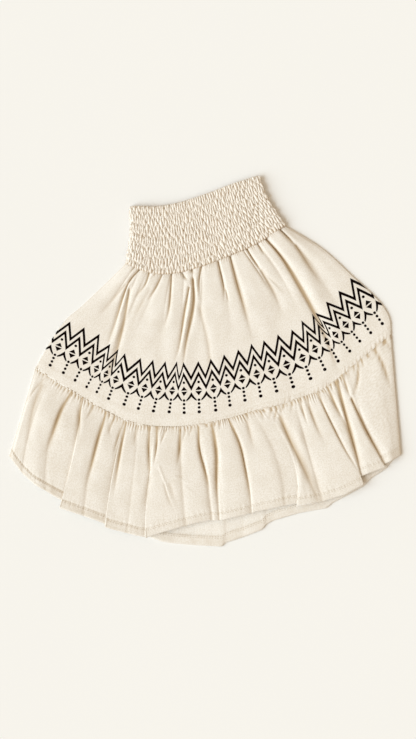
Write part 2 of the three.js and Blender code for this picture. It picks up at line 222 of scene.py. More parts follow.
# A closed shell from the middle of its cloth. The side that is seen when the skirt is worn is up on the front
# and down on the back, which rests on the surface. A strip is extra cloth on the inner side.
def clothShell(name, front, grid, maps, paintedShadeAndTone, materials, thickness, strip=0.0):
    rows, columns = grid.shape[:2]
    normal = normalsOf(grid)
    strip = (strip + np.zeros((rows, columns)))[..., None]
    upper = grid + normal * (thickness / 2 + (0 if front else strip))
    lower = grid - normal * (thickness / 2 + (strip if front else 0))
    if not front:
        lower[..., 2] = np.maximum(lower[..., 2], 0)
    count = rows * columns
    numbers = np.arange(count).reshape(rows, columns)
    ring = np.r_[numbers[:, 0], numbers[-1, 1:], numbers[-2::-1, -1], numbers[0, -2::-1]]
    rim = np.stack([ring[1:], ring[:-1], ring[:-1] + count, ring[1:] + count], -1)
    faces = np.vstack([squares(numbers), squares(numbers + count)[:, ::-1], rim])
    points = np.vstack([upper.reshape(-1, 3), lower.reshape(-1, 3)])
    piece = newMesh(name + ("Front" if front else "Back"), points, faces)
    mesh = piece.data
    for label, (x, y) in maps.items():
        corners = np.stack([np.tile(x.ravel(), 2), np.tile(y.ravel(), 2)], -1)[faces.ravel()]
        mesh.uv_layers.new(name=label).data.foreach_set("uv", corners.astype(np.float32).ravel())
    # Painted shade in folds, creases and along seams, and the darker tone of the ruffle's hem strip, kept per
    # point
    setAttribute(mesh, "paintedShadeAndTone", np.tile(np.clip(paintedShadeAndTone, 0, 1).ravel(), 2))
    for material in materials:
        mesh.materials.append(material)
    skin = (rows - 1) * (columns - 1)
    start = skin if front else 0
    inner = np.zeros(len(faces), np.int32)
    inner[start:start + skin] = len(materials) - 1
    mesh.polygons.foreach_set("material_index", inner)
    mesh.polygons.foreach_set("use_smooth", np.arange(len(faces)) < 2 * skin)      # the cut edge stays crisp
    return piece, upper


# Node trees

# One output of a node. Plain signs between two of them, or with a number, make Math nodes.
class Output:
    def __init__(self, tree, socket):
        self.tree, self.socket = tree, socket

    def __add__(self, other):
        return calc(self.tree, "ADD", self, other)

    def __sub__(self, other):
        return calc(self.tree, "SUBTRACT", self, other)

    def __rsub__(self, other):
        return calc(self.tree, "SUBTRACT", other, self)

    def __mul__(self, other):
        return calc(self.tree, "MULTIPLY", self, other)

    def __truediv__(self, other):
        return calc(self.tree, "DIVIDE", self, other)

    def __rtruediv__(self, other):
        return calc(self.tree, "DIVIDE", other, self)

    def __pow__(self, other):
        return calc(self.tree, "POWER", self, other)

    def __abs__(self):
        return calc(self.tree, "ABSOLUTE", self)

    def into(self, socket):
        self.tree.links.new(self.socket, socket)


def node(tree, kind, inputs=None, **settings):
    made = tree.nodes.new(kind)
    for name, value in settings.items():
        setattr(made, name, value)
    for socket, value in (inputs or {}).items():
        if isinstance(value, Output):
            value.into(made.inputs[socket])
        else:
            made.inputs[socket].default_value = value
    return made


def add(tree, kind, inputs=None, output=0, **settings):
    return Output(tree, node(tree, kind, inputs, **settings).outputs[output])


def outputsOf(tree, made):
    return {socket.name: Output(tree, socket) for socket in made.outputs}


def calc(tree, operation, *values):
    return add(tree, "ShaderNodeMath", dict(enumerate(values)), operation=operation)


# Keeps the last result between 0 and 1
def clamped(value):
    value.socket.node.use_clamp = True
    return value


def mapRange(tree, value, fromMin, fromMax, toMin=0.0, toMax=1.0, kind="SMOOTHSTEP"):
    inputs = {"Value": value, "From Min": fromMin, "From Max": fromMax, "To Min": toMin, "To Max": toMax}
    return add(tree, "ShaderNodeMapRange", inputs, "Result", interpolation_type=kind)


def vector(tree, *parts):
    return add(tree, "ShaderNodeCombineXYZ", dict(enumerate(parts)))


def apart(tree, spot):
    return outputsOf(tree, node(tree, "ShaderNodeSeparateXYZ", {0: spot}))


def noise(tree, spot, detail, dimensions="3D", scale=1.0):
    inputs = {"W" if dimensions == "1D" else "Vector": spot, "Scale": scale, "Detail": detail}
    return add(tree, "ShaderNodeTexNoise", inputs, noise_dimensions=dimensions)


# 0 at the edges between uneven cells, and rising towards their middles
def cells(tree, spot, unevenness, dimensions):
    inputs = {"W" if dimensions == "1D" else "Vector": spot, "Scale": 1.0, "Randomness": unevenness}
    return add(tree, "ShaderNodeTexVoronoi", inputs, "Distance", voronoi_dimensions=dimensions,
               feature="DISTANCE_TO_EDGE")


# An input given as a number is that number's default. Other inputs and all outputs name their kind.
def newTree(name, kind, inputs, outputs):
    tree = bpy.data.node_groups.new(name, kind)
    for label, value in inputs.items():
        socket = value if isinstance(value, str) else "Float"
        made = tree.interface.new_socket(label, in_out="INPUT", socket_type="NodeSocket" + socket)
        if socket == "Float":
            made.default_value = value
    for label, socket in outputs.items():
        tree.interface.new_socket(label, in_out="OUTPUT", socket_type="NodeSocket" + socket)
    return tree, outputsOf(tree, tree.nodes.new("NodeGroupInput")), tree.nodes.new("NodeGroupOutput").inputs


# Sets a tree's inputs by their identifiers, evaluates the piece and takes the modifier away again
def runTree(piece, tree, sizes):
    modifier = piece.modifiers.new(tree.name, "NODES")
    modifier.node_group = tree
    for socket in tree.interface.items_tree:
        if socket.in_out == "INPUT" and socket.name in sizes:
            modifier[socket.identifier] = sizes[socket.name]
    evaluated = piece.evaluated_get(bpy.context.evaluated_depsgraph_get())
    mesh = bpy.data.meshes.new_from_object(evaluated)
    piece.modifiers.remove(modifier)
    return mesh


def endTree(tree, out, geometry, material):
    real = add(tree, "GeometryNodeRealizeInstances", {"Geometry": geometry})
    coloured = add(tree, "GeometryNodeSetMaterial", {"Geometry": real, "Material": material})
    coloured.into(out["Geometry"])


def named(tree, name):
    return add(tree, "GeometryNodeInputNamedAttribute", {"Name": name}, data_type="FLOAT")


def pushOut(tree, geometry, height):
    normal = add(tree, "GeometryNodeInputNormal")
    offset = add(tree, "ShaderNodeVectorMath", {0: normal, "Scale": height}, operation="SCALE")
    return add(tree, "GeometryNodeSetPosition", {"Geometry": geometry, "Offset": offset})


# Small tucks that run square to an edge and fade away from it, as at a gathered seam or a hem
def makeGatherTree():
    tree, given, out = newTree("gathers", "GeometryNodeTree", {
        "Geometry": "Geometry", "Edge": 0.0, "Reach": 25.0,
        "Spacing": 8.0, "Height": 1.0, "Unevenness": 0.8,
        "Seed": 0.0, "Material": "Material",
    }, {"Geometry": "Geometry"})
    across, down = named(tree, "across"), named(tree, "down")
    wander = noise(tree, vector(tree, across * 0.05, down * 0.06, given["Seed"]), 1.0)
    place = across / given["Spacing"] + wander * 0.9 + given["Seed"] * 17.3
    bulge = clamped(cells(tree, place, given["Unevenness"], "1D") * 2.0) ** 0.65 - 0.45
    length = mapRange(tree, noise(tree, place * 0.9, 2.0, "1D"), 0.3, 0.7, 0.35, 1.6, "LINEAR")
    fade = clamped(1.0 - abs(down - given["Edge"]) / (given["Reach"] * length)) ** 1.4
    strength = given["Height"] * mapRange(tree, wander, 0.36, 0.62, 0.25, 1.45, "LINEAR")
    endTree(tree, out, pushOut(tree, given["Geometry"], bulge * fade * (strength * mm)), given["Material"])
    return tree


# Rows of short upright tucks, large ones and small ones together, as elastic thread draws them
def makeShirringTree():
    tree, given, out = newTree("shirring", "GeometryNodeTree", {
        "Geometry": "Geometry", "Tuck Width": 4.2, "Tuck Length": 10.0,
        "Row Distance": 6.7, "Height": 1.5, "Unevenness": 0.8,
        "Seed": 0.0, "Material": "Material",
    }, {"Geometry": "Geometry"})
    across, down = named(tree, "across"), named(tree, "down")
    start = given["Seed"] * 7.3

    def tucks(size):
        width, length = given["Tuck Width"] * size[0], given["Tuck Length"] * size[1]
        spot = vector(tree, across / width + start, down / length + start)
        return clamped(cells(tree, spot, given["Unevenness"], "2D") * 2.2) ** 0.6

    puff = abs(calc(tree, "SINE", down / given["Row Distance"] * math.pi)) ** 0.5
    shape = tucks((1.0, 1.0)) * 0.72 + tucks((0.6, 0.5)) * 0.28
    shape = shape * mapRange(tree, puff, 0.0, 1.0, 0.6, 1.0, "LINEAR") - 0.5
    endTree(tree, out, pushOut(tree, given["Geometry"], shape * (given["Height"] * mm)), given["Material"])
    return tree


# Stitches laid end to end along each line of a mesh of edges
def makeStitchTree():
    tree, given, out = newTree("stitches", "GeometryNodeTree", {
        "Geometry": "Geometry", "Distance": 0.0028, "Length": 0.002,
        "Thread": 0.0005, "Material": "Material",
    }, {"Geometry": "Geometry"})
    line = add(tree, "GeometryNodeMeshToCurve", {"Mesh": given["Geometry"]})
    inputs = {"Curve": line, "Length": given["Distance"]}
    spaced = add(tree, "GeometryNodeResampleCurve", inputs, mode="LENGTH")
    tangent = add(tree, "GeometryNodeInputTangent")
    turn = add(tree, "FunctionNodeAlignRotationToVector", {"Vector": tangent}, axis="X")
    bead = add(tree, "GeometryNodeMeshUVSphere", {"Segments": 6, "Rings": 4, "Radius": 0.5})
    size = vector(tree, given["Length"], given["Thread"], given["Thread"])
    shaped = add(tree, "GeometryNodeTransform", {"Geometry": bead, "Scale": size})
    smoothed = add(tree, "GeometryNodeSetShadeSmooth", {"Geometry": shaped})
    inputs = {"Points": spaced, "Instance": smoothed, "Rotation": turn}
    endTree(tree, out, add(tree, "GeometryNodeInstanceOnPoints", inputs), given["Material"])
    return tree


gatherTree = makeGatherTree()
shirringTree = makeShirringTree()
stitchTree = makeStitchTree()


# Effects that several materials share

# Plain weave: raised threads both ways, some of them thicker than the rest
def makeWeaveGroup():
    tree, given, out = newTree("weave", "ShaderNodeTree", {
        "Vector": "Vector", "Thread": 0.55, "Slub": 0.5,
    }, {"Height": "Float", "Slubs": "Float"})
    spot = apart(tree, given["Vector"])
    warp, weft = spot["X"] / given["Thread"], spot["Y"] / given["Thread"]
    over = [abs(calc(tree, "SINE", thread * math.pi)) for thread in (warp, weft)]
    check = calc(tree, "PINGPONG", calc(tree, "FLOOR", warp) + calc(tree, "FLOOR", weft), 1.0)
    threads = add(tree, "ShaderNodeMix", {0: check, 2: over[0], 3: over[1]}, data_type="FLOAT")
    streaks = [noise(tree, vector(tree, spot["X"] * short, spot["Y"] * long), 2.0, "2D")
               for short, long in ((0.9, 0.05), (0.05, 0.9))]
    slubs = mapRange(tree, calc(tree, "MAXIMUM", *streaks), 0.5, 0.8)
    (threads + slubs * given["Slub"]).into(out["Height"])
    slubs.into(out["Slubs"])
    return tree


# Uneven tone of undyed cotton and linen: flecks, and soft patches
def makeHeatherGroup():
    tree, given, out = newTree("heather", "ShaderNodeTree", {
        "Vector": "Vector", "Fleck": 1.7, "Patch": 20.0,
    }, {"Tone": "Float"})
    flecks = noise(tree, given["Vector"], 2.0, "2D", 1.0 / given["Fleck"])
    patches = noise(tree, given["Vector"], 3.0, "2D", 1.0 / given["Patch"])
    tone = mapRange(tree, flecks, 0.32, 0.68) * 0.75 + mapRange(tree, patches, 0.3, 0.7) * 0.25
    tone.into(out["Tone"])
    return tree


# The printed border. Along counts its repeats and Down is the distance in millimetres below the tips of
# its upper zigzag. Each repeat has two zigzags, a dot, two triangles, arrowheads and four dots. Skew is the
# cosine of the angle between those two ways, which keeps the dots round on slanting cloth.
border = {
    "repeatWidth": 16.8, "line": 2.6, "zigzagHeight": 17.4, "secondZigzag": 12.2, "inkEdge": 0.3,
    "dots": [(22.3, 1.6), (43.8, 1.6), (48.3, 1.6), (53.1, 1.6), (58.4, 1.9)],  # (down, radius)
    "upTriangle": (27.0, 31.9, 3.9), "downTriangle": (33.2, 38.5, 4.0),         # (top, bottom, half width)
    "gapSlant": 0.06,                                                           # of the gap between them
    "arrowTip": 34.0, "arrowThickness": 5.6, "arrowReach": 5.9, "arrowTaper": 0.32,
    "arrowBend": (1.75, 0.09), "arrowLean": 0.55,
}


def makeBorderGroup():
    tree, given, out = newTree("borderPrint", "ShaderNodeTree", {
        "Along": 0.0, "Down": 0.0, "Skew": 0.0,
        "Line": border["line"], "Ink Edge": border["inkEdge"],
    }, {"Ink": "Float"})
    wide, high = border["repeatWidth"], border["zigzagHeight"]
    down = given["Down"]
    fromTip = calc(tree, "PINGPONG", given["Along"], 0.5)                 # 0 under a tip, 0.5 between two
    x = fromTip * wide
    signed = (calc(tree, "FRACT", given["Along"] + 0.5) - 0.5) * wide
    level = signed * (given["Skew"] + border["gapSlant"]) + down
    shapes = []                                                           # each is above 0 where it has ink

    for start in (0.0, border["secondZigzag"]):
        off = abs(down - start - fromTip * (2 * high))
        shapes.append(given["Line"] * 0.5 - off * (wide / 2 / math.hypot(wide / 2, high)))

    for place, radius in border["dots"]:
        below = down - place
        square = below * (signed * given["Skew"] * 2.0 + below) + x * x
        shapes.append(radius - calc(tree, "SQRT", square))

    tip, base, width = border["upTriangle"]
    shapes.append(calc(tree, "MINIMUM", (down - tip) * (width / (base - tip)) - x, base - level))
    base, tip, width = border["downTriangle"]
    shapes.append(calc(tree, "MINIMUM", (down - tip) * (width / (base - tip)) - x, level - base))

    arm = wide / 2 - x                                                    # 0 on the arrow's own line
    steep, curve = border["arrowBend"]
    middle = arm * (steep - arm * curve) + (border["arrowTip"] + border["arrowThickness"] / 2)
    thick = border["arrowThickness"] / 2 - arm * border["arrowTaper"]
    inside = (thick - abs(down - middle)) * border["arrowLean"]
    shapes.append(calc(tree, "MINIMUM", inside, border["arrowReach"] - arm))

    most = shapes[0]
    for shape in shapes[1:]:
        most = calc(tree, "MAXIMUM", most, shape)
    mapRange(tree, most / given["Ink Edge"], -0.5, 0.5).into(out["Ink"])
    return tree


weaveGroup = makeWeaveGroup()
heatherGroup = makeHeatherGroup()
borderGroup = makeBorderGroup()


# Materials

clothLook = {
    "outside": [(0.91, 0.849, 0.77), (0.795, 0.717, 0.613)],        # (light, dark)
    "inside": [(0.93, 0.873, 0.795), (0.84, 0.766, 0.665)],
    "shirred": [(0.93, 0.86, 0.765), (0.83, 0.74, 0.63)],
    # Tan of the painted shade in folds, creases and seams, also the darker tone of the ruffle's hem strip
    "paintedShadeAndTone": (0.46, 0.305, 0.14), "shirredPaintedShade": (0.42, 0.25, 0.1),
    "ink": (0.004, 0.001, 0.0005), "sewing": (0.83, 0.74, 0.61),
    "roughness": 0.95, "thread": 0.55, "slubTint": 0.3, "bump": 0.35, "bumpDepth": 0.00012,
    "inkedWeave": 0.6,          # relief of the weave under the ink
}


def blendColour(tree, share, *colours):
    first, second = (colour if isinstance(colour, Output) else (*colour, 1.0) for colour in colours)
    return add(tree, "ShaderNodeMix", {0: share, 6: first, 7: second}, 2, data_type="RGBA")


def newMaterial(name, roughness, sheen=0.0):
    material = bpy.data.materials.new(name)
    material.use_nodes = True
    tree = material.node_tree
    tree.nodes.clear()
    shader = node(tree, "ShaderNodeBsdfPrincipled", {
        "Roughness": roughness, "Specular IOR Level": 0.04, "Sheen Weight": sheen, "Sheen Roughness": 0.5})
    Output(tree, shader.outputs[0]).into(node(tree, "ShaderNodeOutputMaterial").inputs["Surface"])
    return material, tree, shader.inputs


def attribute(tree, name):
    return add(tree, "ShaderNodeAttribute", None, "Fac", attribute_name=name)


def makeClothMaterial(name, light, dark, paintedShadeAmount, paintedShadeColour=clothLook["paintedShadeAndTone"], printed=False):
    material, tree, shader = newMaterial(name, clothLook["roughness"])
    place = add(tree, "ShaderNodeUVMap", uv_map="cloth")
    inputs = {"Vector": place, "Thread": clothLook["thread"]}
    weave = outputsOf(tree, node(tree, "ShaderNodeGroup", inputs, node_tree=weaveGroup))
    heather = add(tree, "ShaderNodeGroup", {"Vector": place}, "Tone", node_tree=heatherGroup)
    tone = clamped(heather + weave["Slubs"] * clothLook["slubTint"])
    colour = blendColour(tree, tone, light, dark)
    # Painted shade, and the hem strip's darker tone, mixed into the colour by the per-point attribute
    colour = blendColour(tree, attribute(tree, "paintedShadeAndTone") * paintedShadeAmount, colour, paintedShadeColour)
    height = weave["Height"]
    if printed:
        spot = apart(tree, add(tree, "ShaderNodeUVMap", uv_map="border"))
        inputs = {"Along": spot["X"], "Down": spot["Y"], "Skew": attribute(tree, "skew")}
        ink = add(tree, "ShaderNodeGroup", inputs, "Ink", node_tree=borderGroup)
        colour = blendColour(tree, ink, colour, clothLook["ink"])
        height = height * mapRange(tree, ink, 0.0, 1.0, 1.0, clothLook["inkedWeave"], "LINEAR")
    colour.into(shader["Base Color"])
    inputs = {"Strength": clothLook["bump"], "Distance": clothLook["bumpDepth"], "Height": height}
    add(tree, "ShaderNodeBump", inputs).into(shader["Normal"])
    return material


# Two close tones on Object coordinates, in clouds
def makeCloudedMaterial(name, colour, darker, scale, detail, roughness, sheen=0.0):
    material, tree, shader = newMaterial(name, roughness, sheen)
    clouds = noise(tree, add(tree, "ShaderNodeTexCoord", None, "Object"), detail, scale=scale)
    blendColour(tree, clouds, colour, [darker * c for c in colour]).into(shader["Base Color"])
    return material


printedCloth = makeClothMaterial("cream_cloth_printed", *clothLook["outside"], paintedShadeAmount=0.8, printed=True)
plainCloth = makeClothMaterial("cream_cloth", *clothLook["outside"], paintedShadeAmount=0.8)
insideCloth = makeClothMaterial("cream_cloth_inside", *clothLook["inside"], paintedShadeAmount=0.6)
shirredCloth = makeClothMaterial(
    "cream_cloth_shirred", *clothLook["shirred"], paintedShadeAmount=1.0, paintedShadeColour=clothLook["shirredPaintedShade"])
threadMaterial = makeCloudedMaterial(
    "cream_thread", clothLook["sewing"], darker=0.8, scale=900.0, detail=1.0, roughness=0.7, sheen=0.1)
print("materials and node trees made")


# Folds

footSteepness = 4.5


# Height between two neighbouring lines: a narrow foot in the valley, a round top on the crest
def foldBetween(a, b, share, sharp):
    up = np.where(b > a, share, 1 - share)
    soft = (1 - np.cos(np.pi * up)) / 2
    return np.minimum(a, b) + np.abs(b - a) * mix(soft, 1 - (1 - up) ** footSteepness, sharp)


# Columns of a panel: each lies in one gap between two lines, at a share of that gap
def columnsFor(gapWidths, columnWidth):
    gaps, shares = [0], [0.0]
    for gap, width in enumerate(gapWidths):
        count = max(3, round(width / columnWidth))
        gaps += [gap] * count
        shares += [i / count for i in range(1, count + 1)]
    return np.array(gaps), np.array(shares)


def rowsFor(length, rowWidth, power=1.0):
    return np.linspace(0, 1, round(length / rowWidth) + 1) ** power


# 1 at the sides of a panel, and 0 from some share of its width inwards
def nearSide(across, reach):
    return 1 - smooth(0, reach, np.minimum(across, 1 - across))


# Height that wanders, from waves of (height, across, down, seed)
def unevenness(across, down, waves):
    return sum(height * softNoise(across * x, down * y, seed) for height, x, y, seed in waves)


def sinking(away, depth, reach):
    return depth * np.exp(-away / reach)


# reach is in widths of the crease, and fade in shares of its length
creaseForm = {"valleyCurve": 1.4, "ridgeCurve": 2, "fade": (0.3, 1), "reach": 4, "stepsPerPoint": 4}


# How deep each point lies in its deepest crease. A crease is a smooth line that fades towards its end, and
# one with a depth below 0 is a ridge.
def creaseDepth(flat, creases):
    valleys, ridges = np.zeros(flat.shape[:2]), np.zeros(flat.shape[:2])
    for deep, narrow, wide, lean, points in creases:
        line = along(smoothLine(*points), np.linspace(0, 1, creaseForm["stepsPerPoint"] * len(points)))
        margin = creaseForm["reach"] * wide
        low, high = line.min(axis=0) - margin, line.max(axis=0) + margin
        near = ((flat > low) & (flat < high)).all(axis=-1)
        spots = flat[near]
        nearest, share, side = np.full(len(spots), np.inf), np.zeros(len(spots)), np.zeros(len(spots))
        for i, (start, way) in enumerate(zip(line[:-1], np.diff(line, axis=0))):
            off = spots - start
            part = np.clip(off @ way / (way @ way), 0, 1)
            away = np.linalg.norm(off - part[:, None] * way, axis=1)
            closer = away < nearest
            nearest[closer] = away[closer]
            share[closer] = (i + part[closer]) / (len(line) - 1)
            side[closer] = np.sign(crossOf(way, off[closer]))
        reach = mix(narrow, wide, share) * (1 + lean * side)
        curve = creaseForm["valleyCurve" if deep > 0 else "ridgeCurve"]
        groove = deep * np.exp(-((nearest / reach) ** curve)) * (1 - smooth(*creaseForm["fade"], share))
        valleys[near] = np.maximum(valleys[near], groove)
        ridges[near] = np.minimum(ridges[near], groove)
    return valleys + ridges


# Upper tier

# Crests and valleys, left to right: (at the waist seam, half way, at the ruffle seam, height, where it fades)
tierFolds = np.array([
    (0, 0, 0, 0, 1), (0.03, 0.04, 0.05, 1.2, 0.8), (0.055, 0.08, 0.09, 0, 1), (0.072, 0.11, 0.13, 1.2, 0.6),
    (0.09, 0.148, 0.16, 0, 1), (0.115, 0.16, 0.178, 1.3, 1.1), (0.135, 0.172, 0.2, 0, 1),
    (0.175, 0.195, 0.225, 1.2, 0.7), (0.225, 0.215, 0.25, 0, 1), (0.25, 0.26, 0.3, 1.0, 0.8),
    (0.272, 0.31, 0.35, 0, 1), (0.31, 0.345, 0.375, 1.0, 0.8), (0.352, 0.38, 0.395, 0, 1),
    (0.385, 0.395, 0.408, 1.2, 0.95), (0.405, 0.412, 0.425, 0, 1), (0.43, 0.43, 0.445, 1.4, 0.5),
    (0.458, 0.445, 0.465, 0, 1), (0.505, 0.5, 0.5, 1.2, 0.9), (0.553, 0.555, 0.545, 0, 1),
    (0.59, 0.585, 0.58, 1.2, 0.6), (0.63, 0.62, 0.62, 0, 1), (0.68, 0.675, 0.67, 1.2, 0.9),
    (0.735, 0.737, 0.73, 0, 1), (0.77, 0.765, 0.76, 1.2, 0.5), (0.808, 0.79, 0.78, 0, 1),
    (0.835, 0.808, 0.795, 1.5, 0.7), (0.865, 0.833, 0.815, 0, 1), (0.905, 0.868, 0.85, 3.0, 1.1),
    (0.958, 0.91, 0.9, 0, 1), (0.98, 0.955, 0.95, 1.2, 0.8), (1, 1, 1, 0, 1),
])
# Creases and ridges in millimetres from above: (depth, width at the start, width at the end, lean, line)
tierCreases = [
    (1.0, 1.2, 1.2, 0, [(-84, 113), (-90, 106)]),
    (3.2, 1.2, 2.0, -0.2, [(-78, 110), (-90, 96), (-98, 77), (-107, 49), (-114, 28), (-120, 8)]),
    (1.2, 1.5, 4.0, 0, [(-95, 92), (-114, 70), (-136, 47)]),
    (2.4, 2.0, 3.6, -0.2, [(-91, 86), (-96, 54), (-104, 19), (-112, -10), (-122, -28), (-128, -50)]),
    (2.0, 1.1, 1.5, 0, [(-66, 108), (-72, 91), (-86, 74)]),
    (2.0, 1.1, 1.8, 0, [(-50, 106), (-60, 86), (-76, 64)]),
    (0.8, 2.5, 4.5, 0, [(-66, 85), (-80, 61), (-94, 23)]),
    (2.6, 1.2, 2.4, 0, [(-40, 106), (-41, 85), (-44, 58), (-53, 31)]),
    (2.6, 1.1, 1.2, 0, [(-29, 108), (-24, 100), (-16, 95)]),
    (3.2, 1.6, 1.6, 0, [(-17, 112), (-14, 104)]),
    (2.8, 1.4, 2.2, 0, [(-19, 88), (-24, 61), (-32, 13), (-42, -11)]),
    (3.4, 1.8, 3.0, -0.2, [(-14, 98), (-13, 71), (-23, 19), (-29, -32)]),
    (2.4, 1.1, 1.3, 0, [(-4, 116), (-7, 96), (-6, 71)]),
    (0.9, 3.0, 4.0, 0, [(-6, 64), (5, 13), (9, -70)]),
    (3.0, 1.3, 1.7, 0, [(16, 119), (23, 85), (22, 66)]),
    (1.6, 1.0, 1.3, 0, [(25, 86), (29, 68)]),
    (2.6, 1.4, 4.2, 0.2, [(29, 130), (37, 98), (47, 64), (59, 19)]),
    (2.8, 1.2, 1.7, 0, [(50, 135), (58, 122), (72, 103)]),
    (1.5, 2.6, 4.2, 0.2, [(68, 108), (85, 78), (95, 52)]),
    (1.3, 1.0, 1.2, 0, [(46, 133), (70, 98), (86, 71)]),
    (0.9, 1.5, 4.0, 0, [(68, 108), (102, 77)]),
    (2.0, 1.1, 1.5, 0, [(62, 142), (73, 125)]),
    (3.6, 1.5, 4.0, 0.5, [(71, 148), (91, 125), (116, 84), (136, 47), (149, 18), (166, -30)]),
    (3.0, 1.3, 1.8, 0, [(89, 159), (103, 145), (110, 136)]),
    (1.8, 2.0, 5.0, 0.3, [(109, 138), (127, 112), (145, 85)]),
    (1.3, 1.1, 1.1, 0, [(108, 138), (116, 136)]),
    (1.1, 1.1, 1.3, 0, [(96, 163), (110, 155)]),
    (-0.9, 1.6, 2.8, 0, [(-91, 94), (-96, 73), (-103, 49), (-109, 19), (-116, -10)]),
    (-1.0, 1.6, 2.6, 0, [(-17, 84), (-18, 66), (-23, 45), (-28, 19), (-31, -4)]),
    (-0.6, 1.4, 1.8, 0, [(-11, 98), (-9, 73)]),
]
tier = {
    "length": 185, "cut": (0.49, 0.187), "columnWidth": 1.15, "rowWidth": 1.9, "backCoarser": 1.6,
    "sideLengths": (0.95, 1.02),                # left and right, as shares of the length
    "tuckUnder": 3.0, "tuckEnds": 0.05, "softening": 2, "lowest": 1.7,
    "side": 0.05, "meeting": 0.012,             # shares of its width where it sinks and where it ends
    "waistLift": 3.2, "waistLiftEnds": 0.35, "sideLift": 0.35, "sideFolds": 0.3, "belly": 2.4,
    "foldStart": (0.6, 0.15), "foldFade": 0.15, "seamSharpness": 0.25, "softer": (0.05, 0.5),
    "waistDip": (1.8, 3.0), "seamDip": (0.4, 2.0),                          # (depth, reach)
    "drift": [(0.5, 14, 4, 1), (0.3, 30, 9, 2)], "driftStarts": (0.05, 0.3),
    "backFold": 0.4, "backFoldEnds": (0.1, 0.4), "backDrift": (0.15, 16, 5, 3),
    "allowance": 12.0, "allowanceStep": 1.2, "allowanceLift": 0.3, "allowanceTint": 0.07, "seamStitch": 6.5,
    "gathers": {"Edge": 0.0, "Reach": 12.0, "Spacing": 4.2, "Height": 0.8, "Unevenness": 0.9, "Seed": 2.0},
    "pucker": {"Edge": 190.0, "Reach": 15.0, "Spacing": 5.5, "Height": 0.6, "Unevenness": 0.9, "Seed": 5.0},
    "backHeights": (0.5, 0.2),                  # of the gathers and of the pucker at the ruffle's seam
}
# Where each repeat of the border has the tip of its upper zigzag and its lowest dot, in millimetres from
# above. Repeats close together lie in a fold.
borderTips = [
    (-163, 45), (-146, 38), (-128, 30), (-115, 18), (-105, 12), (-97, 7), (-78, 1), (-63, -1), (-48, -3),
    (-34, -3), (-26, -4), (-8, -3), (7, 0), (23, 5), (40, 11), (56, 18), (71, 22), (88, 29), (105, 35),
    (117, 46), (130, 54), (134, 56), (147, 69), (162, 82), (176, 97)]
borderDots = [
    (-186, -5), (-170, -14), (-156, -23), (-142, -31), (-130, -37), (-116, -45), (-97, -52), (-80, -57),
    (-62, -60), (-43, -61), (-25, -62), (-7, -61), (13, -59), (30, -53), (48, -47), (67, -42), (86, -36),
    (106, -31), (127, -21), (144, -10), (160, 0), (174, 12), (186, 24), (199, 34), (213, 45)]

borderFit = {
    "searchGrid": (801, 401), "guess": (-0.2, 1.1), "reach": 0.7, "steps": 15,
    "longestAcross": 1, "longestDown": 0.3, "skewSoftening": 12,
}


def tierPatch(across, down):
    return patch(waistSeam, ruffleSeam, tierLeft, tierRight, across, down)


# Shares across and down at each point, and the height of the folds there
def tierGrid(mirrored):
    folds = tierFolds.copy()
    if mirrored:
        folds = folds[::-1]
        folds[:, :3] = 1 - folds[:, :3]
    coarser = tier["backCoarser"] if mirrored else 1.0
    v = rowsFor(tier["length"], tier["rowWidth"] * coarser)[:, None]
    waist, middle, seam, height, ends = folds.T
    at = mix(mix(waist, middle, 2 * v), mix(middle, seam, 2 * v - 1), v)
    gap, share = columnsFor(np.diff(middle) * ruffleSeam["length"], tier["columnWidth"] * coarser)
    after = np.minimum(gap + 1, len(folds) - 1)
    across = soften(mix(at[:, gap], at[:, after], share), 2)
    startHeight, grown = tier["foldStart"]
    fade = smooth(tier["foldFade"] * ends, ends, v)
    rise = height * mix(startHeight, 1.0, smooth(0, grown, v)) * (1 - fade)
    sharp = mix(1.0, tier["seamSharpness"], smooth(*tier["softer"], v))
    return v, across, v + 0 * across, foldBetween(rise[:, gap], rise[:, after], share, sharp)


# Shares across and down the tier of some points seen from above, with one more point beyond each end
def tierShares(points):
    across, down = np.meshgrid(*(np.linspace(0, 1, count) for count in borderFit["searchGrid"]))
    flat = tierPatch(across, down)
    nearest = [np.argmin(((flat - point) ** 2).sum(axis=-1)) for point in points]
    return withEnds(np.column_stack([across.ravel()[nearest], down.ravel()[nearest]])).T


# Number of the border's repeat at each point, and the distance below the tips. A first guess from the shares
# across and down is moved, step by step, onto the straight lines that join the tips to the lowest dots.
def borderMap(across, down):
    shares = [tierShares(borderTips), tierShares(borderDots)]
    top, bottom = (np.interp(across, *line) for line in shares)
    below = (down - top) / (bottom - top)
    numbers = [np.interp(across, line[0], np.arange(line.shape[1])) for line in shares]
    repeat = mix(*numbers, np.clip(below, *borderFit["guess"]))
    near = np.abs(below - 0.5) < borderFit["reach"]
    spots = tierPatch(across, down)[near]
    number, part = repeat[near][:, None], below[near][:, None]
    tips, dots = withEnds(borderTips), withEnds(borderDots)
    for _ in range(borderFit["steps"]):
        i = np.clip(np.floor(number[:, 0]).astype(int), 0, len(tips) - 2)
        top, bottom = (mix(line[i], line[i + 1], number - i[:, None]) for line in (tips, dots))
        wayAcross, wayDown = mix(tips[i + 1] - tips[i], dots[i + 1] - dots[i], part), bottom - top
        off = spots - mix(top, bottom, part)
        area = crossOf(wayAcross, wayDown)
        for place, toGo, most in ((number, crossOf(off, wayDown) / area, borderFit["longestAcross"]),
                                  (part, crossOf(wayAcross, off) / area, borderFit["longestDown"])):
            place += np.clip(toGo, -most, most)[:, None]
    repeat[near], below[near] = number[:, 0], part[:, 0]
    return repeat, below * border["dots"][-1][0]


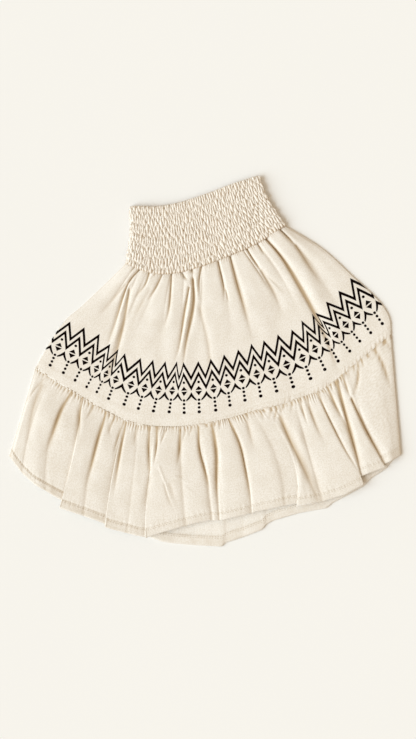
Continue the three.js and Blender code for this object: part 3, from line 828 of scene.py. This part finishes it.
# Cosine of the angle between the border's two directions at each point
def skewOf(flat, repeat, down):
    flatRows, flatColumns = np.gradient(flat, axis=(0, 1))
    repeatRows, repeatColumns = np.gradient(repeat[..., None], axis=(0, 1))
    downRows, downColumns = np.gradient(down[..., None], axis=(0, 1))
    alongWay = flatColumns * downRows - flatRows * downColumns
    downWay = flatRows * repeatColumns - flatColumns * repeatRows
    lengths = np.linalg.norm(alongWay, axis=-1) * np.linalg.norm(downWay, axis=-1)
    skew = (alongWay * downWay).sum(axis=-1) / np.maximum(lengths, 1e-9)
    return soften(skew, borderFit["skewSoftening"])


def makeTier(front):
    v, across, down, fold = tierGrid(mirrored=not front)
    length = tier["length"] * mix(*tier["sideLengths"], across)
    downMm, upMm = down * length, (1 - down) * length
    upward = (along(waistSeam, across) - along(ruffleSeam, across)) / tier["length"]
    tuck = tier["tuckUnder"] * (1 - smooth(0, tier["tuckEnds"], down))
    flat = tierPatch(across, down) + upward * tuck[..., None]
    grooves = creaseDepth(flat, tierCreases if front else [])
    inner = 1 - nearSide(across, tier["side"])
    if front:
        lift = tier["waistLift"] * (1 - smooth(0, tier["waistLiftEnds"], v)) * mix(tier["sideLift"], 1, inner)
        rest = layers["frontRest"] + layers["cloth"] / 2 + lift
        rest = rest + tier["belly"] * np.sin(np.pi * across) * np.sin(np.pi * down)
        drift = unevenness(across, down, tier["drift"]) * inner * smooth(*tier["driftStarts"], down)
        step = smooth(tier["allowance"], tier["allowance"] + tier["allowanceStep"], upMm)
        allowance = tier["allowanceLift"] * (1 - step)
        dip = sinking(downMm, *tier["waistDip"]) + sinking(upMm, *tier["seamDip"])
        z = rest + fold * mix(tier["sideFolds"], 1, inner) + drift + allowance - dip
        z = mix(z, layers["sideRest"], nearSide(across, tier["meeting"]))
    else:
        z = layers["cloth"] / 2 + tier["backFold"] * fold * (1 - smooth(*tier["backFoldEnds"], v))
        z = z + (tier["backDrift"][0] + unevenness(across, down, [tier["backDrift"]])) * inner
    z = soften(z, tier["softening"]) - grooves
    if front:
        z = keepAbove(z, mix(layers["sideRest"], tier["lowest"], inner))
    grid = np.dstack([flat, z])
    acrossMm = across[len(across) // 2] * tier["cut"][0] / mm + 0 * down
    for sizes, backHeight in zip((tier["gathers"], tier["pucker"]), tier["backHeights"]):
        grid = relief(grid, acrossMm, downMm, gatherTree, sizes if front else sizes | {"Height": backHeight})
    # Painted shade in the folds and drawn creases, with a darker line along the edge of the seam allowance
    # underneath
    edgeLine = bell(upMm - tier["allowance"], 1.0) * (1 + softNoise(acrossMm / 8, down, 12))
    paintedShadeAndTone = paintedValleyShade(grid, grooves, np.minimum(downMm, upMm)) + tier["allowanceTint"] * edgeLine
    maps = {"cloth": (acrossMm, downMm), "border": borderMap(across if front else 1 - across, down)}
    piece, upper = clothShell("tier", front, grid, maps, paintedShadeAndTone, [printedCloth, insideCloth], layers["cloth"])
    setAttribute(piece.data, "skew", np.tile(skewOf(flat, *maps["border"]).ravel(), 2))
    return piece, upper, downMm


tierFront, tierUpper, tierDown = makeTier(True)
tierBack, _, _ = makeTier(False)
print("upper tier made:", len(tierFront.data.polygons), "and", len(tierBack.data.polygons), "faces")


# Ruffle

# Lines of the front, left to right: (share of the seam, hem x, hem y, bow to the right, height over the back)
ruffleFolds = np.array([
    (0, -235, -114, 0, 0), (0.02, -227.4, -124.8, -3, 2.5), (0.047, -219.6, -134.4, -6, 0.3),
    (0.075, -205.8, -147.6, -8, 2.6), (0.105, -190.8, -156, -10, 0.5), (0.125, -181, -162, -4, 2),
    (0.142, -170.6, -168, 2, 0.4), (0.15, -174.8, -176.4, 2, 3.6), (0.175, -162, -180.6, -1, 3.6),
    (0.21, -145.2, -186, -5, 1.2), (0.235, -132, -190.8, -4, 3), (0.262, -116.4, -196.8, -3.5, 0.4),
    (0.268, -120.6, -199.2, -3.5, 3.2), (0.285, -105.6, -203.4, -2, 3.6), (0.3, -93.6, -206.4, 0, 2.6),
    (0.315, -82.8, -209.4, 0, 4), (0.335, -69, -211.6, 0, 0.4), (0.355, -72.5, -212.4, -5, 4),
    (0.375, -48, -204.6, -4, 5.5), (0.405, -22.8, -197.4, -2, 2), (0.43, -6, -193.2, 0, 4.6),
    (0.452, 9, -190.8, 0, 0.5), (0.472, 13.2, -191.2, 0, 3.2), (0.488, 17.4, -191.2, 0, 0.5),
    (0.5, 21, -190.6, 0, 4), (0.515, 36, -187.2, 2, 5.8), (0.528, 56.4, -182.4, 6, 0.8),
    (0.536, 58, -181.4, 6, 4.2), (0.565, 81.6, -176.4, 7, 5.2), (0.59, 96, -173.4, 9, 2.4),
    (0.615, 112.6, -170.4, 13, 1.6), (0.63, 109.2, -174.6, 15.5, 3.0), (0.665, 126, -171.6, 6, 4.4),
    (0.7, 141, -168.6, 0, 1.6), (0.74, 168, -160.2, 0, 4.8), (0.765, 190.6, -148.2, 0, 4),
    (0.785, 186.4, -138.6, 7, 0.5), (0.815, 201.6, -132.6, 0, 3.8), (0.845, 217, -127.2, -5.6, 3.4),
    (0.862, 213.8, -124.2, -5.6, 0.4), (0.92, 225.6, -118.8, 0, 2.6), (1, 235.8, -112.8, 0, 0),
])
# Lines of the back, in the same columns. Its height is over the surface that it rests on.
backFolds = np.array([
    (0, -234.5, -113, 0, 0), (0.05, -217.2, -133.2, 0, 0), (0.08, -205.8, -144, 0, 1),
    (0.12, -186, -156.6, 0, 0), (0.17, -156, -175.2, 0, 0), (0.2, -140.4, -181.2, 0, 1.2),
    (0.23, -123.6, -187.8, 0, 0), (0.28, -97.2, -199.2, 0, 0), (0.33, -69.6, -210.6, 0, 0),
    (0.36, -54, -216.6, 0, 1.4), (0.39, -39.6, -219, 0, 0), (0.44, -12, -221.5, 0, 0),
    (0.5, 10.8, -222.6, 0, 0.9), (0.52, 20, -223.2, 0, 1.6), (0.53, 23.4, -219, 0, 0.3),
    (0.57, 45.6, -211.8, 0, 0), (0.6, 68.4, -202.8, 0, 1.6), (0.62, 73.2, -196.8, 0, 0),
    (0.65, 81.6, -192, 0, 0), (0.69, 111.6, -183, 0, 1.2), (0.73, 146.4, -176.8, 0, 0),
    (0.76, 153.6, -170.4, 0, 0), (0.82, 189, -151.8, 0, 1), (0.86, 200.4, -140.4, 0, 0),
    (0.92, 217.2, -129.6, 0, 0.7), (0.96, 225.6, -119, 0, 0), (1, 235.2, -112.2, 0, 0),
])
# Creases and ridges, in the same columns as the tier's
ruffleCreases = [
    (1.2, 1.2, 2.0, 0, [(-190, -18), (-204, -34), (-222, -60)]),
    (1.4, 3.0, 5.0, 0, [(-196, -29), (-206, -56), (-216, -114)]),
    (3.0, 1.3, 4.0, 0.4, [(-160, -36), (-173, -58), (-185, -92), (-194, -119)]),
    (2.4, 1.3, 3.6, -0.2, [(-147, -43), (-150, -61), (-151, -80), (-158, -109)]),
    (1.8, 1.1, 1.4, 0, [(-136, -48), (-134, -53), (-145, -74)]),
    (3.2, 1.3, 3.2, 0.2, [(-119, -62), (-128, -92), (-137, -128), (-145, -160)]),
    (2.2, 1.2, 1.6, 0, [(-108, -66), (-114, -80), (-115, -92)]),
    (1.8, 1.1, 1.5, 0, [(-97, -72), (-104, -91), (-112, -122)]),
    (2.6, 1.5, 4.0, -0.3, [(-94, -71), (-100, -102), (-107, -143), (-112, -176)]),
    (1.6, 1.2, 2.4, 0, [(-82, -78), (-85, -104)]),
    (2.6, 1.3, 2.2, -0.2, [(-67, -79), (-67, -121), (-65, -144)]),
    (0.9, 2.5, 5.0, 0, [(-66, -140), (-71, -167), (-75, -196)]),
    (3.0, 1.3, 1.6, 0, [(-58, -79), (-58, -101), (-62, -130)]),
    (1.8, 1.0, 1.3, 0, [(-47, -82), (-54, -102)]),
    (2.6, 1.4, 3.0, 0.3, [(-30, -82), (-31, -107), (-34, -131)]),
    (1.4, 1.0, 1.3, 0, [(-23, -82), (-29, -102)]),
    (1.6, 1.0, 1.3, 0, [(-17, -80), (-19, -92)]),
    (3.2, 1.2, 2.2, -0.2, [(-8, -79), (-6, -107), (4, -146), (8, -174)]),
    (3.4, 1.6, 3.0, 0, [(8, -76), (14, -109), (14, -157), (17, -188)]),
    (1.6, 1.1, 1.3, 0, [(17, -73), (19, -83)]),
    (3.0, 1.3, 2.2, 0.2, [(28, -70), (42, -100), (49, -133), (58, -181)]),
    (1.3, 2.0, 5.0, 0, [(48, -64), (54, -86), (61, -113)]),
    (2.2, 1.2, 1.4, 0, [(66, -59), (72, -72)]),
    (2.4, 1.2, 1.4, 0, [(80, -54), (77, -72)]),
    (2.6, 1.2, 1.4, 0, [(86, -55), (83, -76)]),
    (1.8, 1.2, 1.5, 0, [(95, -52), (89, -67)]),
    (2.2, 3.0, 8.0, 0.4, [(90, -68), (102, -95), (119, -130), (135, -166), (150, -205)]),
    (1.3, 1.1, 1.4, 0, [(105, -49), (103, -64)]),
    (2.0, 1.1, 1.5, 0, [(113, -46), (124, -79)]),
    (1.6, 1.2, 4.5, 0.3, [(121, -43), (132, -74), (148, -107)]),
    (2.4, 1.1, 1.8, 0.3, [(134, -36), (148, -67), (169, -108), (184, -132), (192, -150)]),
    (2.6, 1.5, 2.6, 0, [(146, -29), (156, -52), (168, -76)]),
    (4.2, 1.6, 3.4, 0.2, [(158, -25), (167, -58), (178, -98), (188, -138), (192, -160)]),
    (2.6, 1.2, 2.0, 0, [(164, -16), (176, -47)]),
    (2.6, 1.2, 2.0, 0, [(184, -1), (183, -26), (176, -47)]),
    (3.0, 1.6, 3.0, 0.3, [(176, -46), (193, -83), (217, -126), (226, -145)]),
    (1.5, 1.0, 1.3, 0, [(172, -12), (174, -23)]),
    (1.5, 1.0, 1.3, 0, [(178, -6), (180, -18)]),
    (1.3, 1.0, 1.3, 0, [(188, 1), (191, -10)]),
    (1.2, 1.0, 1.3, 0, [(196, 8), (205, -1)]),
    (2.8, 1.2, 2.6, 0.3, [(203, 14), (212, -2), (224, -37)]),
    (1.6, 1.1, 1.5, 0, [(216, 25), (227, 8)]),
    (0.7, 1.1, 2.0, 0, [(-49, -146), (-44, -164), (-34, -185)]),
    (0.6, 3.0, 5.0, 0, [(-42, -148), (-36, -166), (-30, -180)]),
    (-0.5, 1.2, 1.4, 0, [(-55, -127), (-50, -140), (-45, -155), (-41, -167)]),
    (-0.4, 1.2, 1.4, 0, [(-37, -138), (-25, -144), (-10, -150)]),
    (-0.3, 1.2, 1.4, 0, [(-25, -150), (-6, -166)]),
]
ruffle = {
    "length": 130, "cut": (0.61, 0.13), "columnWidth": 1.05, "rowWidth": 1.8, "rowPower": 1.15,
    "backCoarser": 1.6, "tuckUnder": 2.0, "tuckEnds": 0.05, "softening": 1, "lowest": 2.0, "lowestSide": 0.04,
    "side": 0.1, "meeting": 0.01,               # shares of its width where it sinks and where it ends
    "foldScale": 0.45, "start": (-0.02, 0.05), "startHeight": 0.25, "growth": 0.4, "softer": 0.7,
    "hemSharpness": 0.85, "driftStart": 0.2, "openSides": 0.4,
    "backRoom": 2.8, "hemRoom": (0.5, 0.9), "seamDip": (1.0, 3.0),          # (depth, reach)
    "drift": [(0.45, 22, 3, 7), (0.3, 50, 6, 8)], "backDrift": 0.12, "backRelief": 0.35,
    "gathers": {"Edge": 0.0, "Reach": 13.0, "Spacing": 5.5, "Height": 1.2, "Unevenness": 0.95, "Seed": 1.0},
    "hemPucker": {"Edge": 120.0, "Reach": 9.0, "Spacing": 6.5, "Height": 0.4, "Unevenness": 0.9, "Seed": 4.0},
    # Tints: painted shade in the drawn creases, in the hem's stitched groove, on the back's hem strip under
    # the front's hem  and along the seam under the tier's edge; the front's hem strip only gets a darker,
    # flecked tone
    "hemGroove": (0.35, 1.1), "hemEdge": 0.8, "grooveShadeScale": 1.12,
    "hemShadeAndTone": 0.18, "hemGrooveShade": 0.2, "backHemShade": 0.9, "plainHem": (0.31, 0.36), "plainHemTint": 0.25,
    "ruffleSeamShade": (0.3, 2.2),
}


def makeRuffle(front):
    seamAt, hemX, hemY, bow, height = folds = (ruffleFolds if front else backFolds).T
    v = rowsFor(ruffle["length"], ruffle["rowWidth"], ruffle["rowPower"])[:, None]
    hem = np.stack([hemX, hemY], -1)
    width = np.hypot(np.linalg.norm(np.diff(hem, axis=0), axis=1), np.diff(height))
    gap, share = columnsFor(width, ruffle["columnWidth"] * (1 if front else ruffle["backCoarser"]))
    after = np.minimum(gap + 1, folds.shape[1] - 1)

    seamPoints = along(ruffleSeam, seamAt)
    fall = hem - seamPoints
    right = np.stack([-fall[:, 1], fall[:, 0]], -1) / np.linalg.norm(fall, axis=1)[:, None]
    w = v[..., None]
    lines = seamPoints + fall * w + right * 4 * bow[:, None] * w * (1 - w)
    across = mix(seamAt[gap], seamAt[after], share) + 0 * v
    chord = mix(seamPoints[gap], seamPoints[after], share[:, None])
    flat = mix(lines[:, gap], lines[:, after], share[:, None])
    flat = flat + (along(ruffleSeam, across[0]) - chord) * (1 - w)
    flat = flat - fall[gap] / ruffle["length"] * ruffle["tuckUnder"] * (1 - smooth(0, ruffle["tuckEnds"], w))

    grooves = creaseDepth(flat, ruffleCreases if front else [])
    downMm = v * ruffle["length"] + 0 * across
    upMm = ruffle["length"] - downMm
    inner = 1 - nearSide(across, ruffle["side"])
    grown = mix(ruffle["startHeight"], 1.0, smooth(0, ruffle["growth"], v)) * smooth(*ruffle["start"], v)
    sharp = mix(1.0, ruffle["hemSharpness"], smooth(0, ruffle["softer"], v))
    fold = ruffle["foldScale"] * grown * foldBetween(height[gap] + 0 * v, height[after] + 0 * v, share, sharp)
    drift = unevenness(across, v, ruffle["drift"])
    hemGroove = bell(upMm - layers["hemDepth"], ruffle["hemGroove"][1])
    strip = layers["hemFold"] * (1 - smooth(layers["hemDepth"], layers["hemDepth"] + ruffle["hemEdge"], upMm))
    if front:
        room = ruffle["backRoom"] * smooth(0, ruffle["growth"], v) * inner
        room = room + 2 * layers["hemFold"] * smooth(*ruffle["hemRoom"], v)
        rest = layers["frontRest"] + layers["cloth"] / 2 + room
        dip = sinking(downMm, *ruffle["seamDip"]) + ruffle["hemGroove"][0] * hemGroove
        z = rest + fold + drift * inner * smooth(0, ruffle["driftStart"], v) - dip
        z = mix(z, layers["sideRest"], nearSide(across, ruffle["meeting"]) * (1 - ruffle["openSides"] * v))
    else:
        z = layers["cloth"] / 2 + fold + ruffle["backDrift"] * (1 + drift)
    grid = soften(np.dstack([flat, z]), ruffle["softening"])
    grid[..., 2] -= grooves
    if front:
        low = mix(ruffle["lowest"], layers["sideRest"], nearSide(across, ruffle["lowestSide"]))
        grid[..., 2] = keepAbove(grid[..., 2], low)

    step = np.r_[0, np.linalg.norm(np.diff(grid[-1], axis=0), axis=1)]
    acrossMm = np.cumsum(step) + 0 * v
    scale = 1.0 if front else ruffle["backRelief"]
    for sizes in (ruffle["gathers"], ruffle["hemPucker"]):
        grid = relief(grid, acrossMm, downMm, gatherTree, sizes | {"Height": sizes["Height"] * scale})
    # The hem strip is darker, in flecks, and its stitched groove gets painted shade. On the back, which lies
    # under the  front's hem, all of it is painted shade; the plain part of the front's hem shows less of it.
    hemShadeAndTone = ruffle["hemShadeAndTone"] * (1 + 0.8 * softNoise(acrossMm / 9, downMm / 5, 9)) * (strip > 0)
    hemShadeAndTone = hemShadeAndTone + ruffle["hemGrooveShade"] * hemGroove * (1 + 0.9 * softNoise(acrossMm / 6, v, 10))
    plain = mix(1, ruffle["plainHemTint"], smooth(*ruffle["plainHem"], across))
    hemShadeAndTone = hemShadeAndTone * (plain if front else ruffle["backHemShade"])
    # Painted shade along the seam, where the ruffle lies tucked under the tier
    amount, reach = ruffle["ruffleSeamShade"]
    ruffleSeamShade = amount * bell(downMm, reach) * (1 + 0.9 * softNoise(acrossMm / 2.5, v, 13))
    # Painted shade in the valleys and creases, added to that of the hem and the seam
    paintedShadeAndTone = paintedValleyShade(grid, ruffle["grooveShadeScale"] * grooves, downMm) + hemShadeAndTone + ruffleSeamShade
    maps = {"cloth": (acrossMm, downMm)}
    shell = clothShell("ruffle", front, grid, maps, paintedShadeAndTone, [plainCloth, insideCloth], layers["cloth"], strip)
    return *shell, downMm


ruffleFront, ruffleUpper, ruffleDown = makeRuffle(True)
ruffleBack, ruffleBackUpper, ruffleBackDown = makeRuffle(False)
print("ruffle made:", len(ruffleFront.data.polygons), "and", len(ruffleBack.data.polygons), "faces")


# Waistband

band = {
    "height": 74, "width": 185, "cut": (0.35, 0.074), "columnWidth": 0.52, "rowWidth": 0.75,
    "backFineness": 0.8, "thickness": 1.0, "corner": 5.0, "rows": 11,
    "frontHeight": 5.9, "backHeight": 1.9, "meeting": 3.2, "apart": 0.45, "drift": (0.35, 9, 3, 11),
    "sideRound": (0.0, 4.5), "topRound": (0.6, 2.7), "seamRound": (0.8, 2.5),       # (start, reach)
    # Painted shade in the valleys between the tucks (reach in points, depth), and along the seam (amount,
    # then the  distances in millimetres from the seam over which it fades)
    "creases": (4, 0.75), "seamShade": (0.35, 0.5, 2.0),
    "shirring": {
        "Tuck Width": 3.1, "Tuck Length": 11.5, "Row Distance": 6.7, "Height": 3.0, "Unevenness": 0.85,
        "Seed": 0.0,
    },
}


# Rounds the two top corners: each quarter of a square becomes a quarter disc
def roundCorners(acrossMm, downMm):
    r, width = band["corner"], band["width"]
    fromSide = np.minimum(acrossMm, width - acrossMm)
    x, y = np.clip(1 - fromSide / r, 0, 1), np.clip(1 - downMm / r, 0, 1)
    inCorner = (x > 0) & (y > 0)
    newSide = r * (1 - x * np.sqrt(1 - y * y / 2))
    newAcross = np.where(acrossMm < width / 2, newSide, width - newSide)
    newDown = r * (1 - y * np.sqrt(1 - x * x / 2))
    return np.where(inCorner, newAcross, acrossMm), np.where(inCorner, newDown, downMm)


def makeBand(front):
    finer = 1 if front else band["backFineness"]
    rows, columns = (round(band[size] / band[step] * finer) + 1
                     for size, step in (("height", "rowWidth"), ("width", "columnWidth")))
    down, across = np.meshgrid(np.linspace(0, 1, rows), np.linspace(0, 1, columns), indexing="ij")
    acrossMm, downMm = across * band["width"], down * band["height"]
    upMm = band["height"] - downMm
    roundedAcross, roundedDown = roundCorners(acrossMm, downMm)
    flat = patch(waistTop, waistSeam, bandLeft, bandRight,
                 roundedAcross / band["width"], roundedDown / band["height"])
    roundness = np.ones_like(across)
    sideMm = np.minimum(acrossMm, band["width"] - acrossMm)
    for away, (start, reach) in (
            (sideMm, band["sideRound"]), (downMm, band["topRound"]), (upMm, band["seamRound"])):
        roundness = roundness * np.sqrt(1 - (1 - np.clip((away + start) / reach, 0, 1)) ** 2)
    if front:
        high = band["frontHeight"] + unevenness(across, down, [band["drift"]])
        z = mix(band["meeting"] + band["apart"], high, roundness)
    else:
        z = mix(band["meeting"] - band["apart"], band["backHeight"], roundness)
    grid = relief(np.dstack([flat, z]), acrossMm, downMm, shirringTree, band["shirring"])
    # Painted shade in the tucks' valleys and along the seam
    shade, *fade = band["seamShade"]
    paintedShadeAndTone = creaseOf(grid, *band["creases"]) + shade * (1 - smooth(*fade, upMm))
    maps = {"cloth": (across * band["cut"][0] / mm, downMm)}
    return clothShell("waistband", front, grid, maps, paintedShadeAndTone, [shirredCloth, shirredCloth], band["thickness"])


waistbandFront, bandUpper = makeBand(True)
waistbandBack, _ = makeBand(False)
print("waistband made:", len(waistbandFront.data.polygons), "faces")


# Stitches

# A row of stitches along each given line of points
def stitchRow(name, lines, sizes):
    points, edges = [], []
    for line in lines:
        edges += [(len(points) + i, len(points) + i + 1) for i in range(len(line) - 1)]
        points += list(line)
    path = bpy.data.meshes.new(name)
    path.from_pydata([(x * mm, y * mm, (z + sizes["lift"]) * mm) for x, y, z in points], edges, [])
    guide = bpy.data.objects.new(name + "Guide", path)
    scene.collection.objects.link(guide)
    piece = bpy.data.objects.new(name, runTree(guide, stitchTree, sizes | {"Material": threadMaterial}))
    bpy.data.objects.remove(guide)
    scene.collection.objects.link(piece)
    return piece


# The line of points of a surface that lies at one distance down
def lineAt(upper, downMm, distance):
    row = np.argmin(np.abs(downMm - distance), axis=0)
    return upper[row, np.arange(upper.shape[1])][2:-2]


# In metres for the tree, apart from lift, which is in millimetres above the cloth
machineStitch = {"Distance": 0.0033, "Length": 0.0026, "Thread": 0.0006, "lift": 0.12}
fineStitch = {"Distance": 0.0029, "Length": 0.0021, "Thread": 0.0003, "lift": 0.12}
elasticStitch = {"Distance": 0.0026, "Length": 0.0016, "Thread": 0.0005, "lift": 0.05}
hemRows = [ruffle["length"] - layers["hemDepth"] + off for off in layers["hemStitches"]]
hemLines = [lineAt(ruffleUpper, ruffleDown, row) for row in hemRows]
hemStitches = stitchRow("hemStitches", hemLines, machineStitch)
backHemLines = [lineAt(ruffleBackUpper, ruffleBackDown, row) for row in hemRows]
backHemStitches = stitchRow("backHemStitches", backHemLines, machineStitch)
seamLine = lineAt(tierUpper, tierDown, tier["length"] - tier["seamStitch"])
seamStitches = stitchRow("seamStitches", [seamLine], fineStitch)
elasticPlaces = ((k + 0.5) / band["rows"] * (len(bandUpper) - 1) for k in range(band["rows"]))
elasticLines = [bandUpper[round(place)][3:-3] for place in elasticPlaces]
elasticStitches = stitchRow("elasticStitches", elasticLines, elasticStitch)
print("stitches made")


# What each piece is and what it stands for

# cut is the width and length of the flat cloth that shows, before it was gathered and sewn
def declare(piece, nodeName, cut, extras=()):
    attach(piece, "root")
    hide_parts(nodeName)
    for extra in extras:
        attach(extra, "root")
    area = sum(face.area for face in piece.data.polygons) / 2
    print(f"{piece.name}: {area:.4f} of {cut[0] * cut[1]:.4f} square metres of flat cloth")


declare(tierBack, "tier_back", tier["cut"])
declare(ruffleBack, "ruffle_back", ruffle["cut"], [backHemStitches])
declare(waistbandBack, "waistband_back", band["cut"])
declare(tierFront, "tier_front", tier["cut"], [seamStitches])
declare(ruffleFront, "ruffle_front", ruffle["cut"], [hemStitches])
declare(waistbandFront, "waistband_front", band["cut"], [elasticStitches])


# Surface, light and camera

studio = {
    "floor": (0.9, 0.875, 0.835), "floorSide": 2500, "floorDrop": 0.1, "ambient": (1.0, 0.855, 0.67),
    "ambientStrength": 0.6, "sun": (0.73, 0.87, 1.0), "sunStrength": 3.62, "sunAzimuth": 197, "sunHeight": 32,
    "sunSpread": 50, "photoHeight": 739, "pixel": 1.2, "centre": (3.6, -10.2), "cameraHeight": 2205,
    "skirtHeight": 5, "sensor": 36,
}


def makeFloor():
    side, z = studio["floorSide"], -studio["floorDrop"]
    corners = np.array([(-side, side, z), (-side, -side, z), (side, -side, z), (side, side, z)], float)
    floor = newMesh("surface", corners, np.array([[0, 1, 2, 3]]))
    floor.data.materials.append(makeCloudedMaterial(
        "pale_surface", studio["floor"], darker=0.985, scale=3.0, detail=2.0, roughness=0.85))


def makeLight():
    world = bpy.data.worlds.new("studio")
    world.use_nodes = True
    background = world.node_tree.nodes["Background"]
    background.inputs["Color"].default_value = (*studio["ambient"], 1.0)
    background.inputs["Strength"].default_value = studio["ambientStrength"]
    scene.world = world
    sun = bpy.data.lights.new("window", "SUN")
    sun.energy = studio["sunStrength"]
    sun.color = studio["sun"]
    sun.angle = math.radians(studio["sunSpread"])
    lamp = bpy.data.objects.new("window", sun)
    lamp.rotation_mode = "XYZ"
    azimuth, height = math.radians(studio["sunAzimuth"]), math.radians(studio["sunHeight"])
    lamp.rotation_euler = (math.pi / 2 - height, 0, azimuth + math.pi / 2)
    scene.collection.objects.link(lamp)


def makeCamera():
    camera = bpy.data.cameras.new("camera")
    camera.sensor_width = studio["sensor"]
    distance = studio["cameraHeight"] - studio["skirtHeight"]
    camera.lens = studio["sensor"] * distance / (studio["photoHeight"] * studio["pixel"])
    camera.clip_end = 20
    seen = bpy.data.objects.new("camera", camera)
    seen.location = [length * mm for length in (*studio["centre"], studio["cameraHeight"])]
    scene.collection.objects.link(seen)
    scene.camera = seen


makeFloor()
makeLight()
makeCamera()
scene.view_settings.view_transform = "Standard"

print("scene ready")
